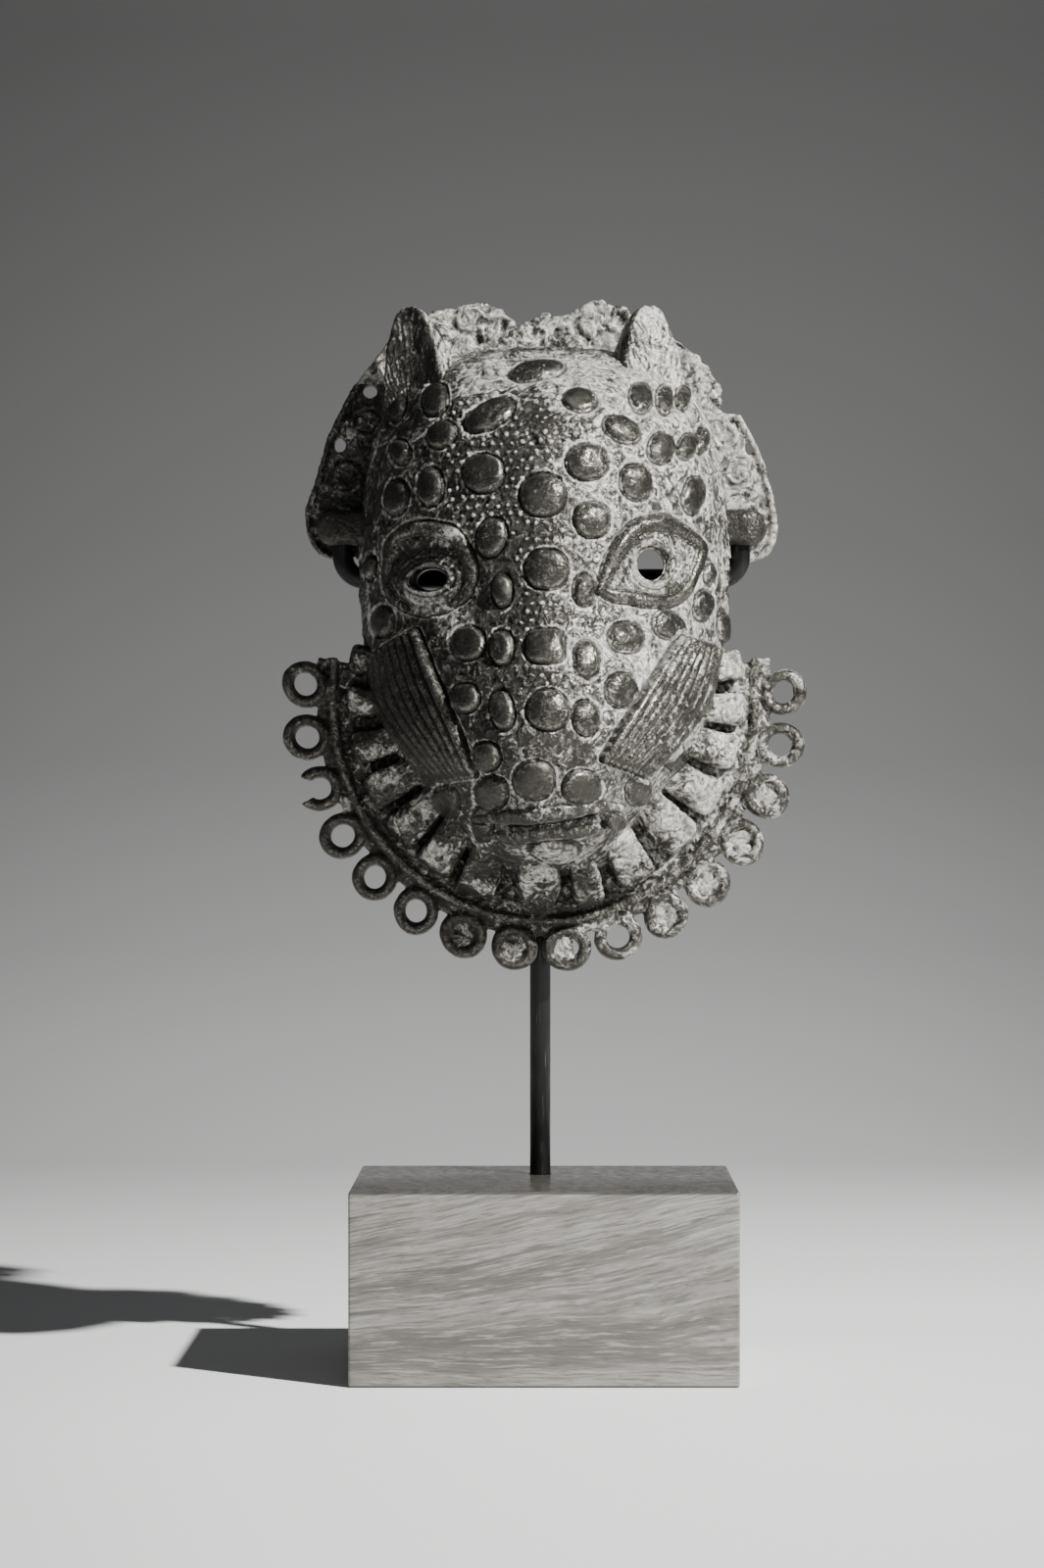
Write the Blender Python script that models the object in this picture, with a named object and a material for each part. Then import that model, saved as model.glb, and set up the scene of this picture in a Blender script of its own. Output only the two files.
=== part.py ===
# Leopard-head hip mask of cast brass on its black metal mount and wooden block.
# Metres, +Z up. The origin is the centre of the block's underside and the face looks towards -Y.
import math

import bmesh
import bpy
from mathutils import Matrix, Vector

for old in list(bpy.data.objects):
    bpy.data.objects.remove(old, do_unlink=True)

MM = 0.001

# Wooden block
BLOCK_WIDE = 0.100
BLOCK_DEEP = 0.070
BLOCK_TALL = 0.050
BLOCK_EDGE = 0.0007

# Metal mount: an upright rod, a crossbar and two ends that turn up into the mask's lugs
ROD_THICK = 0.0055
ROD_X = -0.0011
ROD_Y = 0.0116
ROD_SEAT = 0.022
ROD_SIDES = 12
ELBOW_STEPS = 5
ROD_HOLE_REACH = 0.010
BAR_TALL = 0.2093
BAR_LEFT = 0.0539
BAR_RIGHT = 0.0524
BAR_BEND = 0.0062
STUB_TALL = 0.0060
FIT_GAP = 0.0003

# Head shell of the mask
HEAD_FOOT = 0.1275
HEAD_TALL = 0.145
HEAD_HALF = 0.0505
HEAD_DEEP = 0.0760
HEAD_BACK = 0.0185
HEAD_WALL = 0.0028
HEAD_ROWS = 19
HEAD_COLUMNS = 20
HOLLOW_ROWS = 13
HOLLOW_COLUMNS = 12
LOW_RIM = 0.0050
LOW_RIM_TOP = 0.2145
LOW_CUT_MARGIN = 0.024
FACET_SHARE = 0.59

# Relief of the face, as heights above the skin
SPOT_RISE = 0.0017
SPOT_ROOT = 0.0016
NOSE_RISE = 0.0024
SOCKET_DIP = 0.0020
SPOT_SIDES = 8
RIDGE_THICK = 0.0024
RIDGE_COUNT = 6
LIP_THICK = 0.0036
EYE_RIM_THICK = 0.0040
EYE_RIM_HALF = 0.0120
EYE_RIM_TALL = 0.0096
EYE_HOLE_WIDE = 0.0074
EYE_HOLE_REACH = 0.011
EYEBALL_EDGE = 0.0024
EYEBALL_ROOT = 0.0020
EYEBALL_RISE = 0.0024

# Collar below the face
COLLAR_MID = 0.176
COLLAR_HALF = 0.056
COLLAR_DROP = 0.058
COLLAR_SKIRT = 0.004
COLLAR_TOP = 0.188
COLLAR_THICK = 0.0030
RIB_THICK = 0.0024
PLEAT_COUNT = 15
PLEAT_START = 166
PLEAT_SWEEP = 210
PLEAT_WIDE = 0.0098
PLEAT_RISE = 0.0085
PLEAT_LONG = 0.0155
PLEAT_FOOT = 0.0012
PLEAT_EDGE = 0.0045

# Hanging loops round the collar
LOOP_COUNT = 16
LOOP_PITCH = 0.0140
LOOP_REACH = 0.0075
LOOP_WIDE = 0.0126
LOOP_HOLE = 0.0068
LOOP_THICK = 0.0048
LOOP_PROUD = 0.0004
LOOP_SHIFT = -0.0011
LOOP_WEB = 0.0012
LOOP_SIDES = 12
LOOP_GAP_REACH = 0.004

# Crest and side plates at the back of the head
PLATE_THICK = 0.0030
PLATE_RIM = 0.0022
CURL_THICK = 0.0026
PIERCED_REACH = 0.030
EAR_WIDE = 0.030
EAR_DEEP = 0.0085
EAR_FRONT = -0.0060
EAR_TIP_FRONT = 0.0030

# Lugs that take the mount's ends, drawn with their undersides at LUG_FOOT before the mask is hung
LUG_FOOT = 0.21805
LUG_TALL = 0.0098
LUG_DEEP = 0.0125
LUG_INNER = 0.0080
LUG_MIDDLE = 0.0024
LUG_ROUND = 0.0048
SOCKET_DEEP = 0.0065


def material(name, colour, rough, metal):
    made = bpy.data.materials.new(name)
    made.use_nodes = True
    shader = made.node_tree.nodes["Principled BSDF"]
    shader.inputs["Base Color"].default_value = (*colour, 1.0)
    shader.inputs["Roughness"].default_value = rough
    shader.inputs["Metallic"].default_value = metal
    return made


def solid(name, corners, faces, finish=None):
    """Makes a mesh object from corner points and faces, with its faces turned outwards."""
    mesh = bpy.data.meshes.new(name)
    mesh.from_pydata([tuple(c) for c in corners], [], faces)
    shape = bmesh.new()
    shape.from_mesh(mesh)
    bmesh.ops.triangulate(shape, faces=[f for f in shape.faces if len(f.verts) > 3])
    bmesh.ops.recalc_face_normals(shape, faces=shape.faces)
    shape.to_mesh(mesh)
    shape.free()
    made = bpy.data.objects.new(name, mesh)
    bpy.context.scene.collection.objects.link(made)
    if finish:
        mesh.materials.append(finish)
    return made


def collect(name, pieces):
    """Puts helper solids in a collection of their own, where they only show as wires."""
    group = bpy.data.collections.new(name)
    bpy.context.scene.collection.children.link(group)
    for piece in pieces:
        for home in list(piece.users_collection):
            home.objects.unlink(piece)
        group.objects.link(piece)
        piece.hide_render = True
        piece.display_type = "WIRE"
    return group


def combine(target, pieces, how):
    """Adds or cuts a set of helper solids."""
    step = target.modifiers.new(how.lower() + str(len(target.modifiers)), "BOOLEAN")
    step.operation = how
    step.solver = "EXACT"
    step.operand_type = "COLLECTION"
    step.collection = collect(step.name, pieces)
    step.use_self = True


def smooth_path(points, count):
    """Reads evenly stepped points from a smooth curve through a few given ones."""
    path = []
    last = len(points) - 1
    for step in range(count):
        place = step / (count - 1) * last
        at = min(int(place), last - 1)
        t = place - at
        a = points[max(at - 1, 0)]
        b = points[at]
        c = points[at + 1]
        d = points[min(at + 2, last)]
        path.append(tuple(
            0.5 * (2 * q + (r - p) * t + (2 * p - 5 * q + 4 * r - s) * t * t
                   + (3 * q - p - 3 * r + s) * t ** 3)
            for p, q, r, s in zip(a, b, c, d)))
    return path


def profile(points, share):
    """Reads a profile, given as a few (share, value) points, as a smooth curve."""
    for (a, va), (b, vb) in zip(points, points[1:]):
        if share <= b:
            break
    t = min(1.0, max(0.0, (share - a) / (b - a)))
    at = points.index((a, va))
    before = points[max(at - 1, 0)]
    after = points[min(at + 2, len(points) - 1)]
    rise = (vb - before[1]) / max(b - before[0], 1e-9) * (b - a)
    fall = (after[1] - va) / max(after[0] - a, 1e-9) * (b - a)
    low = (2 * t ** 3 - 3 * t * t + 1) * va + (3 * t * t - 2 * t ** 3) * vb
    return low + (t ** 3 - 2 * t * t + t) * rise + (t ** 3 - t * t) * fall


# Half width and depth of the head as shares, from the chin up to the crown
WIDTHS = ((0, 0), (0.03, 0.32), (0.115, 0.52), (0.26, 0.83), (0.40, 0.955), (0.55, 1.0), (0.71, 0.97),
          (0.85, 0.88), (0.94, 0.70), (0.985, 0.40), (1, 0))
DEPTHS = ((0, 0), (0.03, 0.45), (0.10, 0.82), (0.16, 0.93), (0.26, 0.99), (0.36, 0.95), (0.50, 0.85),
          (0.65, 0.81), (0.80, 0.725), (0.91, 0.53), (0.98, 0.24), (1, 0))
EYES = ((-0.0283, 0.2065), (0.0272, 0.2100))


def hill(x, z, mid_x, mid_z, half_x, half_z):
    return math.exp(-((x - mid_x) / half_x) ** 2 - ((z - mid_z) / half_z) ** 2)


def bump(x, z):
    """Swell of the nose ridge and dip of the eye sockets, towards the viewer."""
    swell = NOSE_RISE * hill(x, z, 0, 0.200, 0.010, 0.034)
    for eye_x, eye_z in EYES:
        swell -= SOCKET_DIP * hill(x, z, eye_x, eye_z, 0.016, 0.012)
    return swell


def face_y(x, z):
    """Front of the head skin at a place seen from the front."""
    share = min(0.999, max(0.001, (z - HEAD_FOOT) / HEAD_TALL))
    half = profile(WIDTHS, share) * HEAD_HALF
    side = min(0.995, abs(x) / half)
    return HEAD_BACK - profile(DEPTHS, share) * HEAD_DEEP * math.sqrt(1 - side * side) - bump(x, z)


def face_frame(x, z):
    """Point on the skin with its right, up and outward directions."""
    step = 0.0008
    slope_x = (face_y(x + step, z) - face_y(x - step, z)) / (2 * step)
    slope_z = (face_y(x, z + step) - face_y(x, z - step)) / (2 * step)
    out = Vector((slope_x, -1.0, slope_z)).normalized()
    up = (Vector((0, 0, 1)) - out * out.z).normalized()
    right = up.cross(out).normalized() * -1.0
    return Vector((x, face_y(x, z), z)), right, up, out


def head_form(name, inset, back, rows, columns):
    """Closed dome of the head, drawn in by inset on every side and run straight on to back."""
    corners = []
    faces = []
    for row in range(1, rows):
        share = 0.5 - 0.5 * math.cos(math.pi * row / rows)
        half = profile(WIDTHS, share) * HEAD_HALF
        deep = profile(DEPTHS, share) * HEAD_DEEP
        z = HEAD_FOOT + share * HEAD_TALL
        shrink = max(0.15, 1 - inset / half)
        for column in range(columns + 1):
            angle = math.pi * (column / columns - 0.5)
            x = half * math.sin(angle)
            y = HEAD_BACK - deep * math.cos(angle)
            if inset:
                z_in = HEAD_FOOT + inset + share * (HEAD_TALL - 2 * inset)
                deep_in = max(0.0, deep - inset * 1.05)
                corners.append((x * shrink, HEAD_BACK - deep_in * math.cos(angle) - bump(x, z), z_in))
            else:
                corners.append((x, y - bump(x, z) * math.cos(angle), z))
    wide = columns + 1
    for row in range(rows - 2):
        for column in range(columns):
            a = row * wide + column
            faces.append((a, a + 1, a + 1 + wide, a + wide))
    low = len(corners)
    corners.append((0, HEAD_BACK, HEAD_FOOT + inset))
    corners.append((0, HEAD_BACK, HEAD_FOOT + HEAD_TALL - inset))
    top_row = (rows - 2) * wide
    for column in range(columns):
        faces.append((low, column + 1, column))
        faces.append((low + 1, top_row + column, top_row + column + 1))
    edge = [low] + [r * wide for r in range(rows - 1)] + [low + 1]
    edge += [r * wide + columns for r in reversed(range(rows - 1))]
    if back > HEAD_BACK:
        behind = len(corners)
        corners.extend((corners[i][0], back, corners[i][2]) for i in edge)
        count = len(edge)
        for i in range(count):
            j = (i + 1) % count
            faces.append((edge[i], edge[j], behind + j, behind + i))
        faces.append(tuple(range(behind, behind + count)))
    else:
        faces.append(tuple(edge))
    return solid(name, corners, faces)


def tube(name, points, thick, sides=6, closed=False, taper=False):
    """Bar swept along points; taper thins its ends."""
    corners = []
    faces = []
    count = len(points)
    for i, point in enumerate(points):
        here = Vector(point)
        ahead = Vector(points[(i + 1) % count] if closed else points[min(i + 1, count - 1)])
        behind = Vector(points[(i - 1) % count] if closed else points[max(i - 1, 0)])
        along = (ahead - behind).normalized()
        across = along.cross(Vector((0, 1, 0)))
        if across.length < 1e-6:
            across = Vector((1, 0, 0))
        across.normalize()
        out = across.cross(along).normalized()
        radius = thick / 2
        if taper:
            radius *= 0.45 + 0.55 * math.sin(math.pi * (i + 0.5) / count) ** 0.5
        for side in range(sides):
            angle = 2 * math.pi * (side + 0.5) / sides
            corners.append(here + across * radius * math.cos(angle) + out * radius * math.sin(angle))
    spans = count if closed else count - 1
    for i in range(spans):
        for side in range(sides):
            a = i * sides + side
            b = i * sides + (side + 1) % sides
            c = (i + 1) % count * sides
            faces.append((a, b, c + (side + 1) % sides, c + side))
    if not closed:
        faces.append(tuple(range(sides)))
        faces.append(tuple(range((count - 1) * sides, count * sides)))
    return solid(name, corners, faces)


def turned(name, rings, place, right, up, out, sides):
    """Stack of ovals (half width, half height, distance out), from the root to the crown."""
    corners = []
    faces = []
    for half_wide, half_tall, rise in rings:
        for side in range(sides):
            angle = 2 * math.pi * side / sides
            across = right * half_wide * math.cos(angle) + up * half_tall * math.sin(angle)
            corners.append(place + across + out * rise)
    for i in range(len(rings) - 1):
        for side in range(sides):
            a = i * sides + side
            b = i * sides + (side + 1) % sides
            faces.append((a, b, b + sides, a + sides))
    faces.append(tuple(range(sides)))
    faces.append(tuple(range((len(rings) - 1) * sides, len(rings) * sides)))
    return solid(name, corners, faces)


def plate(name, outline, front, back):
    """Flat plate between two depths, from an outline of (x, z) points."""
    count = len(outline)
    corners = [(x, front, z) for x, z in outline] + [(x, back, z) for x, z in outline]
    faces = [tuple(range(count)), tuple(range(count, 2 * count))]
    faces += [(i, (i + 1) % count, count + (i + 1) % count, count + i) for i in range(count)]
    return solid(name, corners, faces)


def rod_between(name, start, end, thick, sides=ROD_SIDES):
    """Round bar between two points."""
    start = Vector(start)
    end = Vector(end)
    out = (end - start).normalized()
    right = out.orthogonal().normalized()
    up = out.cross(right)
    half = thick / 2
    return turned(name, ((half, half, 0), (half, half, (end - start).length)), start, right, up, out, sides)


# Spots in hand-set groups: (half width, half height) of one spot in mm, then (x, z) of each in mm
SPOT_GROUPS = {
    "nose line": ((5.5, 5.3), ((-0.3, 227.3), (0.7, 208.2), (0.4, 188.6), (1.1, 172.4), (-2.5, 154.8),
                               (9.5, 153))),
    "beside the nose": ((2.9, 4.5), ((-10.7, 203), (10.1, 203), (-10.7, 188), (10.8, 185.4), (-10.6, 172.5),
                                     (10.5, 170.5), (-13.4, 216.6), (1, 243.1))),
    "forehead": ((5.1, 4.9), ((-15.5, 233), (11, 236), (12.2, 221), (23.6, 231.3), (-14, 249), (20, 245.3),
                              (9.2, 253), (-26.5, 244.3), (-1.9, 261.6), (-14, 262))),
    "temples": ((4.0, 5.0), ((-29.2, 230.5), (-38.4, 228.7), (-37.5, 240.8), (30.3, 241), (37.3, 242.2),
                             (39, 229.3), (25.2, 254.8), (32.6, 255.1), (-28.5, 254.6), (-38.8, 254))),
    "cheeks": ((4.4, 4.3), ((-19.4, 189.7), (-20.1, 175.6), (-42.1, 196.4), (20.9, 191.2), (32, 194.8),
                            (19.7, 177.6), (41.6, 200.7), (-14.8, 160.7), (43.1, 174.7))),
    "jaw": ((4.0, 4.2), ((-13.4, 151.7), (-15.8, 143.7), (-25.7, 149.1), (24.3, 152.3), (33.8, 161.6))),
}


def spots():
    made = []
    for group, (size, places) in SPOT_GROUPS.items():
        half_wide = size[0] * MM
        half_tall = size[1] * MM
        rings = ((half_wide * 0.98, half_tall * 0.98, -SPOT_ROOT), (half_wide, half_tall, SPOT_RISE * 0.35),
                 (half_wide * 0.62, half_tall * 0.62, SPOT_RISE))
        for x, z in places:
            place, right, up, out = face_frame(x * MM, z * MM)
            made.append(turned("spot " + group, rings, place, right, up, out, SPOT_SIDES))
    return made


def eye_outline(eye_x, eye_z, count=13):
    """Almond round an eye, higher at its outer corner, laid on the skin."""
    turn = 1 if eye_x > 0 else -1
    points = []
    for step in range(count):
        angle = 2 * math.pi * step / count
        across = EYE_RIM_HALF * math.cos(angle)
        rise = EYE_RIM_TALL * math.sin(angle) * (1 - 0.14 * math.cos(2 * angle)) + across * 0.20
        x = eye_x + turn * across
        z = eye_z + rise
        points.append((x, face_y(x, z), z))
    return points


def eyes():
    made = []
    for eye_x, eye_z in EYES:
        made.append(tube("eye rim", eye_outline(eye_x, eye_z), EYE_RIM_THICK, 5, closed=True))
        place, right, up, out = face_frame(eye_x, eye_z)
        half = EYE_HOLE_WIDE / 2 + EYEBALL_EDGE
        inner = half * 0.75
        shoulder = EYEBALL_RISE * 0.66
        rings = ((half, half, -EYEBALL_ROOT), (half, half, shoulder), (inner, inner, EYEBALL_RISE))
        made.append(turned("eyeball", rings, place, right, up, out, 12))
    return made


RIDGE_PROUD = 0.0002
# Whisker panels: (x, z) in mm of the first and last ridge's top, middle and lower end
WHISKERS = (
    (((-45.0, 187.5), (-43.0, 175.0), (-27.0, 155.5)), ((-33.0, 193.0), (-26.5, 177.0), (-17.5, 156.5))),
    (((44.8, 189.5), (40.8, 174.5), (25.5, 157.0)), ((35.0, 191.5), (24.5, 174.5), (15.0, 160.5))),
)


def whiskers():
    made = []
    for first, last in WHISKERS:
        for number in range(RIDGE_COUNT):
            share = number / (RIDGE_COUNT - 1)
            knots = [tuple(MM * (a + (b - a) * share) for a, b in zip(p, q)) for p, q in zip(first, last)]
            line = [(x, face_y(x, z) - RIDGE_PROUD, z) for x, z in smooth_path(knots, 6)]
            made.append(tube("whisker ridge", line, RIDGE_THICK, 4, taper=True))
    return made


LIPS = (
    ("upper lip", ((-19.0, 146.5), (-8.0, 148.0), (2.0, 148.6), (12.0, 148.4), (19.5, 147.2))),
    ("lower lip", ((-17.0, 144.5), (-8.0, 141.8), (2.0, 140.8), (10.0, 141.6), (18.5, 145.4))),
)


def mouth():
    made = []
    for name, knots in LIPS:
        line = [(x, face_y(x, z), z) for x, z in smooth_path([(a * MM, b * MM) for a, b in knots], 9)]
        made.append(tube(name, line, LIP_THICK, 6, taper=True))
    return made


def collar_point(angle, reach=0.0):
    """Point of the collar's edge line, an oval below and straight sides above, moved out by reach."""
    x = (COLLAR_HALF + reach) * math.cos(angle)
    z = COLLAR_MID + (COLLAR_DROP + reach) * math.sin(angle)
    return x, z


def collar_line(reach, count=30):
    """Collar's edge line from its left top, round below, to its right top."""
    line = [(-COLLAR_HALF - reach, COLLAR_TOP)]
    for step in range(count + 1):
        line.append(collar_point(math.pi * (1 + step / count), reach))
    line.append((COLLAR_HALF + reach, COLLAR_TOP))
    return line


def collar():
    edge = collar_line(COLLAR_SKIRT, 28)
    made = [plate("collar flange", edge, LOW_RIM - COLLAR_THICK, LOW_RIM)]
    rib_y = LOW_RIM - COLLAR_THICK
    rib = [(x, rib_y, z) for x, z in collar_line(0, 28)]
    made.append(tube("collar rib", rib, RIB_THICK, 6))
    return made


# A pleat's half width as a share, its half thickness in mm and the share of its length, from root to foot
PLEAT_RINGS = ((0.70, 5.2, -0.50), (1.0, 6.0, -0.15), (1.05, 4.6, 0.25), (0.65, 2.2, 0.50))


def pleats():
    """Rounded folds that fan out from under the jaw to the rib."""
    made = []
    for number in range(PLEAT_COUNT):
        angle = math.radians(PLEAT_START + PLEAT_SWEEP * number / (PLEAT_COUNT - 1))
        end_x, end_z = collar_point(angle, -PLEAT_EDGE)
        flange = LOW_RIM - COLLAR_THICK
        along = Vector((math.cos(angle), 0, math.sin(angle)))
        inner = Vector((end_x, flange - PLEAT_RISE, end_z)) - along * PLEAT_LONG
        outer = Vector((end_x, flange - PLEAT_FOOT, end_z))
        across = Vector((-along.z, 0, along.x))
        middle = (inner + outer) / 2
        out = (outer - inner).normalized()
        up = out.cross(across).normalized()
        length = (outer - inner).length
        half = PLEAT_WIDE / 2
        rings = [(half * wide, thick * MM, length * place) for wide, thick, place in PLEAT_RINGS]
        made.append(turned("pleat", rings, middle, across, up, out, 8))
    return made


def loop_places():
    """Centres of the hanging loops, an equal pitch apart along the collar."""
    fine = []
    for step in range(721):
        angle = math.radians(-90 + (step - 360) * 0.3)
        fine.append(collar_point(angle, LOOP_REACH))
    runs = [0.0]
    for (ax, az), (bx, bz) in zip(fine, fine[1:]):
        runs.append(runs[-1] + math.hypot(bx - ax, bz - az))
    middle = runs[360] + LOOP_SHIFT
    places = []
    for number in range(LOOP_COUNT):
        want = middle + (number - (LOOP_COUNT - 1) / 2) * LOOP_PITCH
        at = min(range(len(runs)), key=lambda i: abs(runs[i] - want))
        places.append(fine[at])
    return places


OPEN_LOOPS = (0, 1, 2, 3, 4, 5, 9, 14, 15)
BROKEN_LOOPS = (2,)
# Outline of the part that is lost from a broken loop, (x, z) in mm from the loop's centre
LOST_PART = ((-9.0, -5.0), (-3.2, -3.4), (-1.0, -1.6), (-1.2, 1.6), (-4.2, 2.6), (-9.0, 5.6))


def loop_frame(x, z, y):
    return Vector((x, y, z)), Vector((1, 0, 0)), Vector((0, 0, 1)), Vector((0, -1, 0))


def loops():
    made = []
    half = LOOP_WIDE / 2
    for x, z in loop_places():
        place, right, up, out = loop_frame(x, z, LOW_RIM + LOOP_PROUD)
        rings = ((half, half, 0), (half, half, LOOP_THICK * 0.65), (half * 0.84, half * 0.84, LOOP_THICK))
        made.append(turned("loop", rings, place, right, up, out, LOOP_SIDES))
    return made


def loop_cuts():
    """Holes of the loops, blind where the casting filled them, and the part lost from a broken one."""
    made = []
    half = LOOP_HOLE / 2
    front = LOW_RIM - LOOP_THICK - LOOP_GAP_REACH
    back = LOW_RIM + LOOP_GAP_REACH
    for number, (x, z) in enumerate(loop_places()):
        end = back if number in OPEN_LOOPS else LOW_RIM - LOOP_WEB
        place, right, up, out = loop_frame(x, z, front)
        rings = ((half, half, 0), (half, half, front - end))
        made.append(turned("loop hole", rings, place, right, up, out, 10))
        if number in BROKEN_LOOPS:
            gap = [(x + a * MM, z + b * MM) for a, b in LOST_PART]
            made.append(plate("lost part of a loop", gap, front, back))
    return made


# Broken edge of the crest and side plates, (x, z) in mm from the left plate's foot round to the right's
CREST_EDGE = (
    (-55.5, 214.8), (-61.2, 217.0), (-63.8, 223.0), (-64.0, 231.5), (-60.6, 243.6), (-54.0, 258.8),
    (-47.6, 267.4), (-38.0, 275.2), (-30.2, 281.0), (-20.8, 284.8), (-13.0, 284.2), (-5.2, 279.6),
    (0.4, 277.4), (4.0, 280.6), (11.5, 282.4), (16.8, 286.0), (23.0, 283.4), (29.0, 279.8),
    (36.4, 274.0), (43.6, 269.4), (47.8, 262.4), (47.4, 256.6), (52.5, 254.8), (55.6, 250.6),
    (58.6, 243.0), (61.6, 234.0), (63.0, 224.0), (60.8, 217.2), (55.0, 214.8))


def crest():
    outline = [(x * MM, z * MM) for x, z in CREST_EDGE]
    made = [plate("crest", outline, HEAD_BACK - PLATE_THICK, HEAD_BACK)]
    rim = [(x * MM * 0.988, HEAD_BACK - PLATE_THICK, z * MM) for x, z in CREST_EDGE]
    made.append(tube("crest rim left", rim[:9], PLATE_RIM, 5))
    made.append(tube("crest rim right", rim[-7:], PLATE_RIM, 5))
    return made


# Curled bands in relief on the crest and side plates: centre and radius in mm, start and sweep in degrees
CURLS = (
    (-54, 232, 5.5, 20, 300), (-52, 246, 4.5, 140, 290), (55, 232, 5.0, 160, 300), (53, 243, 3.5, 0, 290),
    (-24, 277, 5.0, 200, 280), (-10, 277, 4.2, 0, 280), (7, 275, 4.2, 180, 280), (20, 277, 4.6, 340, 290),
    (38, 264, 4.6, 150, 280), (-40, 265, 4.6, 30, 280))


def curls():
    made = []
    for mid_x, mid_z, radius, start, sweep in CURLS:
        line = []
        for step in range(7):
            share = step / 6
            angle = math.radians(start + sweep * share)
            reach = radius * (1 - 0.45 * share) * MM
            x = mid_x * MM + reach * math.cos(angle)
            z = mid_z * MM + reach * math.sin(angle)
            line.append((x, HEAD_BACK - PLATE_THICK, z))
        made.append(tube("curl", line, CURL_THICK, 4))
    return made


# Holes through the plates: (x, z) and half width and half height in mm
PIERCED = ((-46.6, 260.0, 1.9, 1.7), (-54.6, 246.0, 1.8, 2.1), (55.8, 246.0, 1.5, 2.6))


def pierced_cuts():
    made = []
    for x, z, half_wide, half_tall in PIERCED:
        place, right, up, out = loop_frame(x * MM, z * MM, HEAD_BACK + PIERCED_REACH / 2)
        rings = ((half_wide * MM, half_tall * MM, 0), (half_wide * MM, half_tall * MM, PIERCED_REACH))
        made.append(turned("pierced hole", rings, place, right, up, out, 8))
    return made


def lugs():
    """Blocks on both sides of the head that take the mount's upturned ends."""
    made = []
    for mid_x in (-BAR_LEFT, BAR_RIGHT):
        side = 1 if mid_x > 0 else -1
        outline = []
        for step in range(9):
            angle = math.radians(-90 + 22.5 * step)
            x = mid_x + side * (LUG_MIDDLE + LUG_ROUND * math.cos(angle))
            outline.append((x, LUG_FOOT + LUG_TALL / 2 * (1 + math.sin(angle))))
        outline.append((mid_x - side * LUG_INNER, LUG_FOOT + LUG_TALL))
        outline.append((mid_x - side * LUG_INNER, LUG_FOOT))
        made.append(plate("lug", outline, HEAD_BACK - LUG_DEEP, HEAD_BACK - PLATE_THICK / 2))
    return made


def sockets():
    made = []
    for x in (-BAR_LEFT, BAR_RIGHT):
        start = (x, ROD_Y, LUG_FOOT - STUB_TALL)
        end = (x, ROD_Y, LUG_FOOT + SOCKET_DEEP)
        made.append(rod_between("socket", start, end, ROD_THICK + 2 * FIT_GAP))
    return made


# Ears: root (x, z) and tip (x, z) in mm
EARS = (((-31.0, 249.0), (-35.2, 279.6)), ((28.0, 250.0), (26.2, 280.0)))
EAR_ROWS = 7
EAR_END_CUP = 0.35
# Depth of an ear's front corner as a share, which makes its face a shallow cup
EAR_CUP = (0.0, 0.75, -0.15, -0.15, 0.75, 0.0, -1.0, -1.0, -1.0, -1.0)


def ears():
    """Round-topped ears with a cupped front, standing on the upper sides of the head."""
    made = []
    for (root_x, root_z), (tip_x, tip_z) in EARS:
        root = Vector((root_x * MM, EAR_FRONT, root_z * MM))
        tip = Vector((tip_x * MM, EAR_TIP_FRONT, tip_z * MM))
        up = (tip - root).normalized()
        right = up.cross(Vector((0, -1, 0))).normalized()
        if right.x < 0:
            right = -right
        out = up.cross(right).normalized()
        if out.y > 0:
            out = -out
        corners = []
        sides = len(EAR_CUP)
        for row in range(EAR_ROWS + 1):
            share = row / EAR_ROWS
            half = EAR_WIDE / 2 * (1.0 - share * 0.985) ** 0.58
            deep = EAR_DEEP * (1.0 - share * 0.8)
            centre = root + (tip - root) * share
            for side, cup in enumerate(EAR_CUP):
                angle = 2 * math.pi * side / sides
                shallow = EAR_END_CUP if row in (0, EAR_ROWS) and cup > 0 else 1.0
                depth = deep * cup * abs(math.sin(angle)) * shallow
                corners.append(centre + right * half * math.cos(angle) + out * depth)
        faces = []
        for row in range(EAR_ROWS):
            for side in range(sides):
                a = row * sides + side
                b = row * sides + (side + 1) % sides
                faces.append((a, b, b + sides, a + sides))
        faces.append(tuple(range(sides)))
        faces.append(tuple(range(EAR_ROWS * sides, (EAR_ROWS + 1) * sides)))
        made.append(solid("ear", corners, faces))
    return made


def eye_cuts():
    made = []
    for eye_x, eye_z in EYES:
        skin = face_y(eye_x, eye_z)
        start = (eye_x, skin - EYE_HOLE_REACH, eye_z)
        made.append(rod_between("eye hole", start, (eye_x, skin + EYE_HOLE_REACH, eye_z), EYE_HOLE_WIDE))
    return made


def low_rim_cut():
    """Clears the head's lower back, so that the crossbar passes behind it."""
    half = COLLAR_HALF + LOW_CUT_MARGIN
    foot = COLLAR_MID - COLLAR_DROP - LOW_CUT_MARGIN
    outline = [(-half, foot), (half, foot), (half, LOW_RIM_TOP), (-half, LOW_RIM_TOP)]
    return plate("lower back", outline, LOW_RIM, HEAD_BACK + LOW_CUT_MARGIN)


def hang(mask):
    """Moves the mask, with the helper solids it is made of, so that its lugs rest at the mount's ends."""
    lift = BAR_TALL + ROD_THICK / 2 + STUB_TALL - LUG_FOOT
    pieces = [mask]
    for step in mask.modifiers:
        if step.type == "BOOLEAN":
            pieces.extend(step.collection.objects)
    for piece in pieces:
        piece.data.transform(Matrix.Translation((0, 0, lift)))


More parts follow.
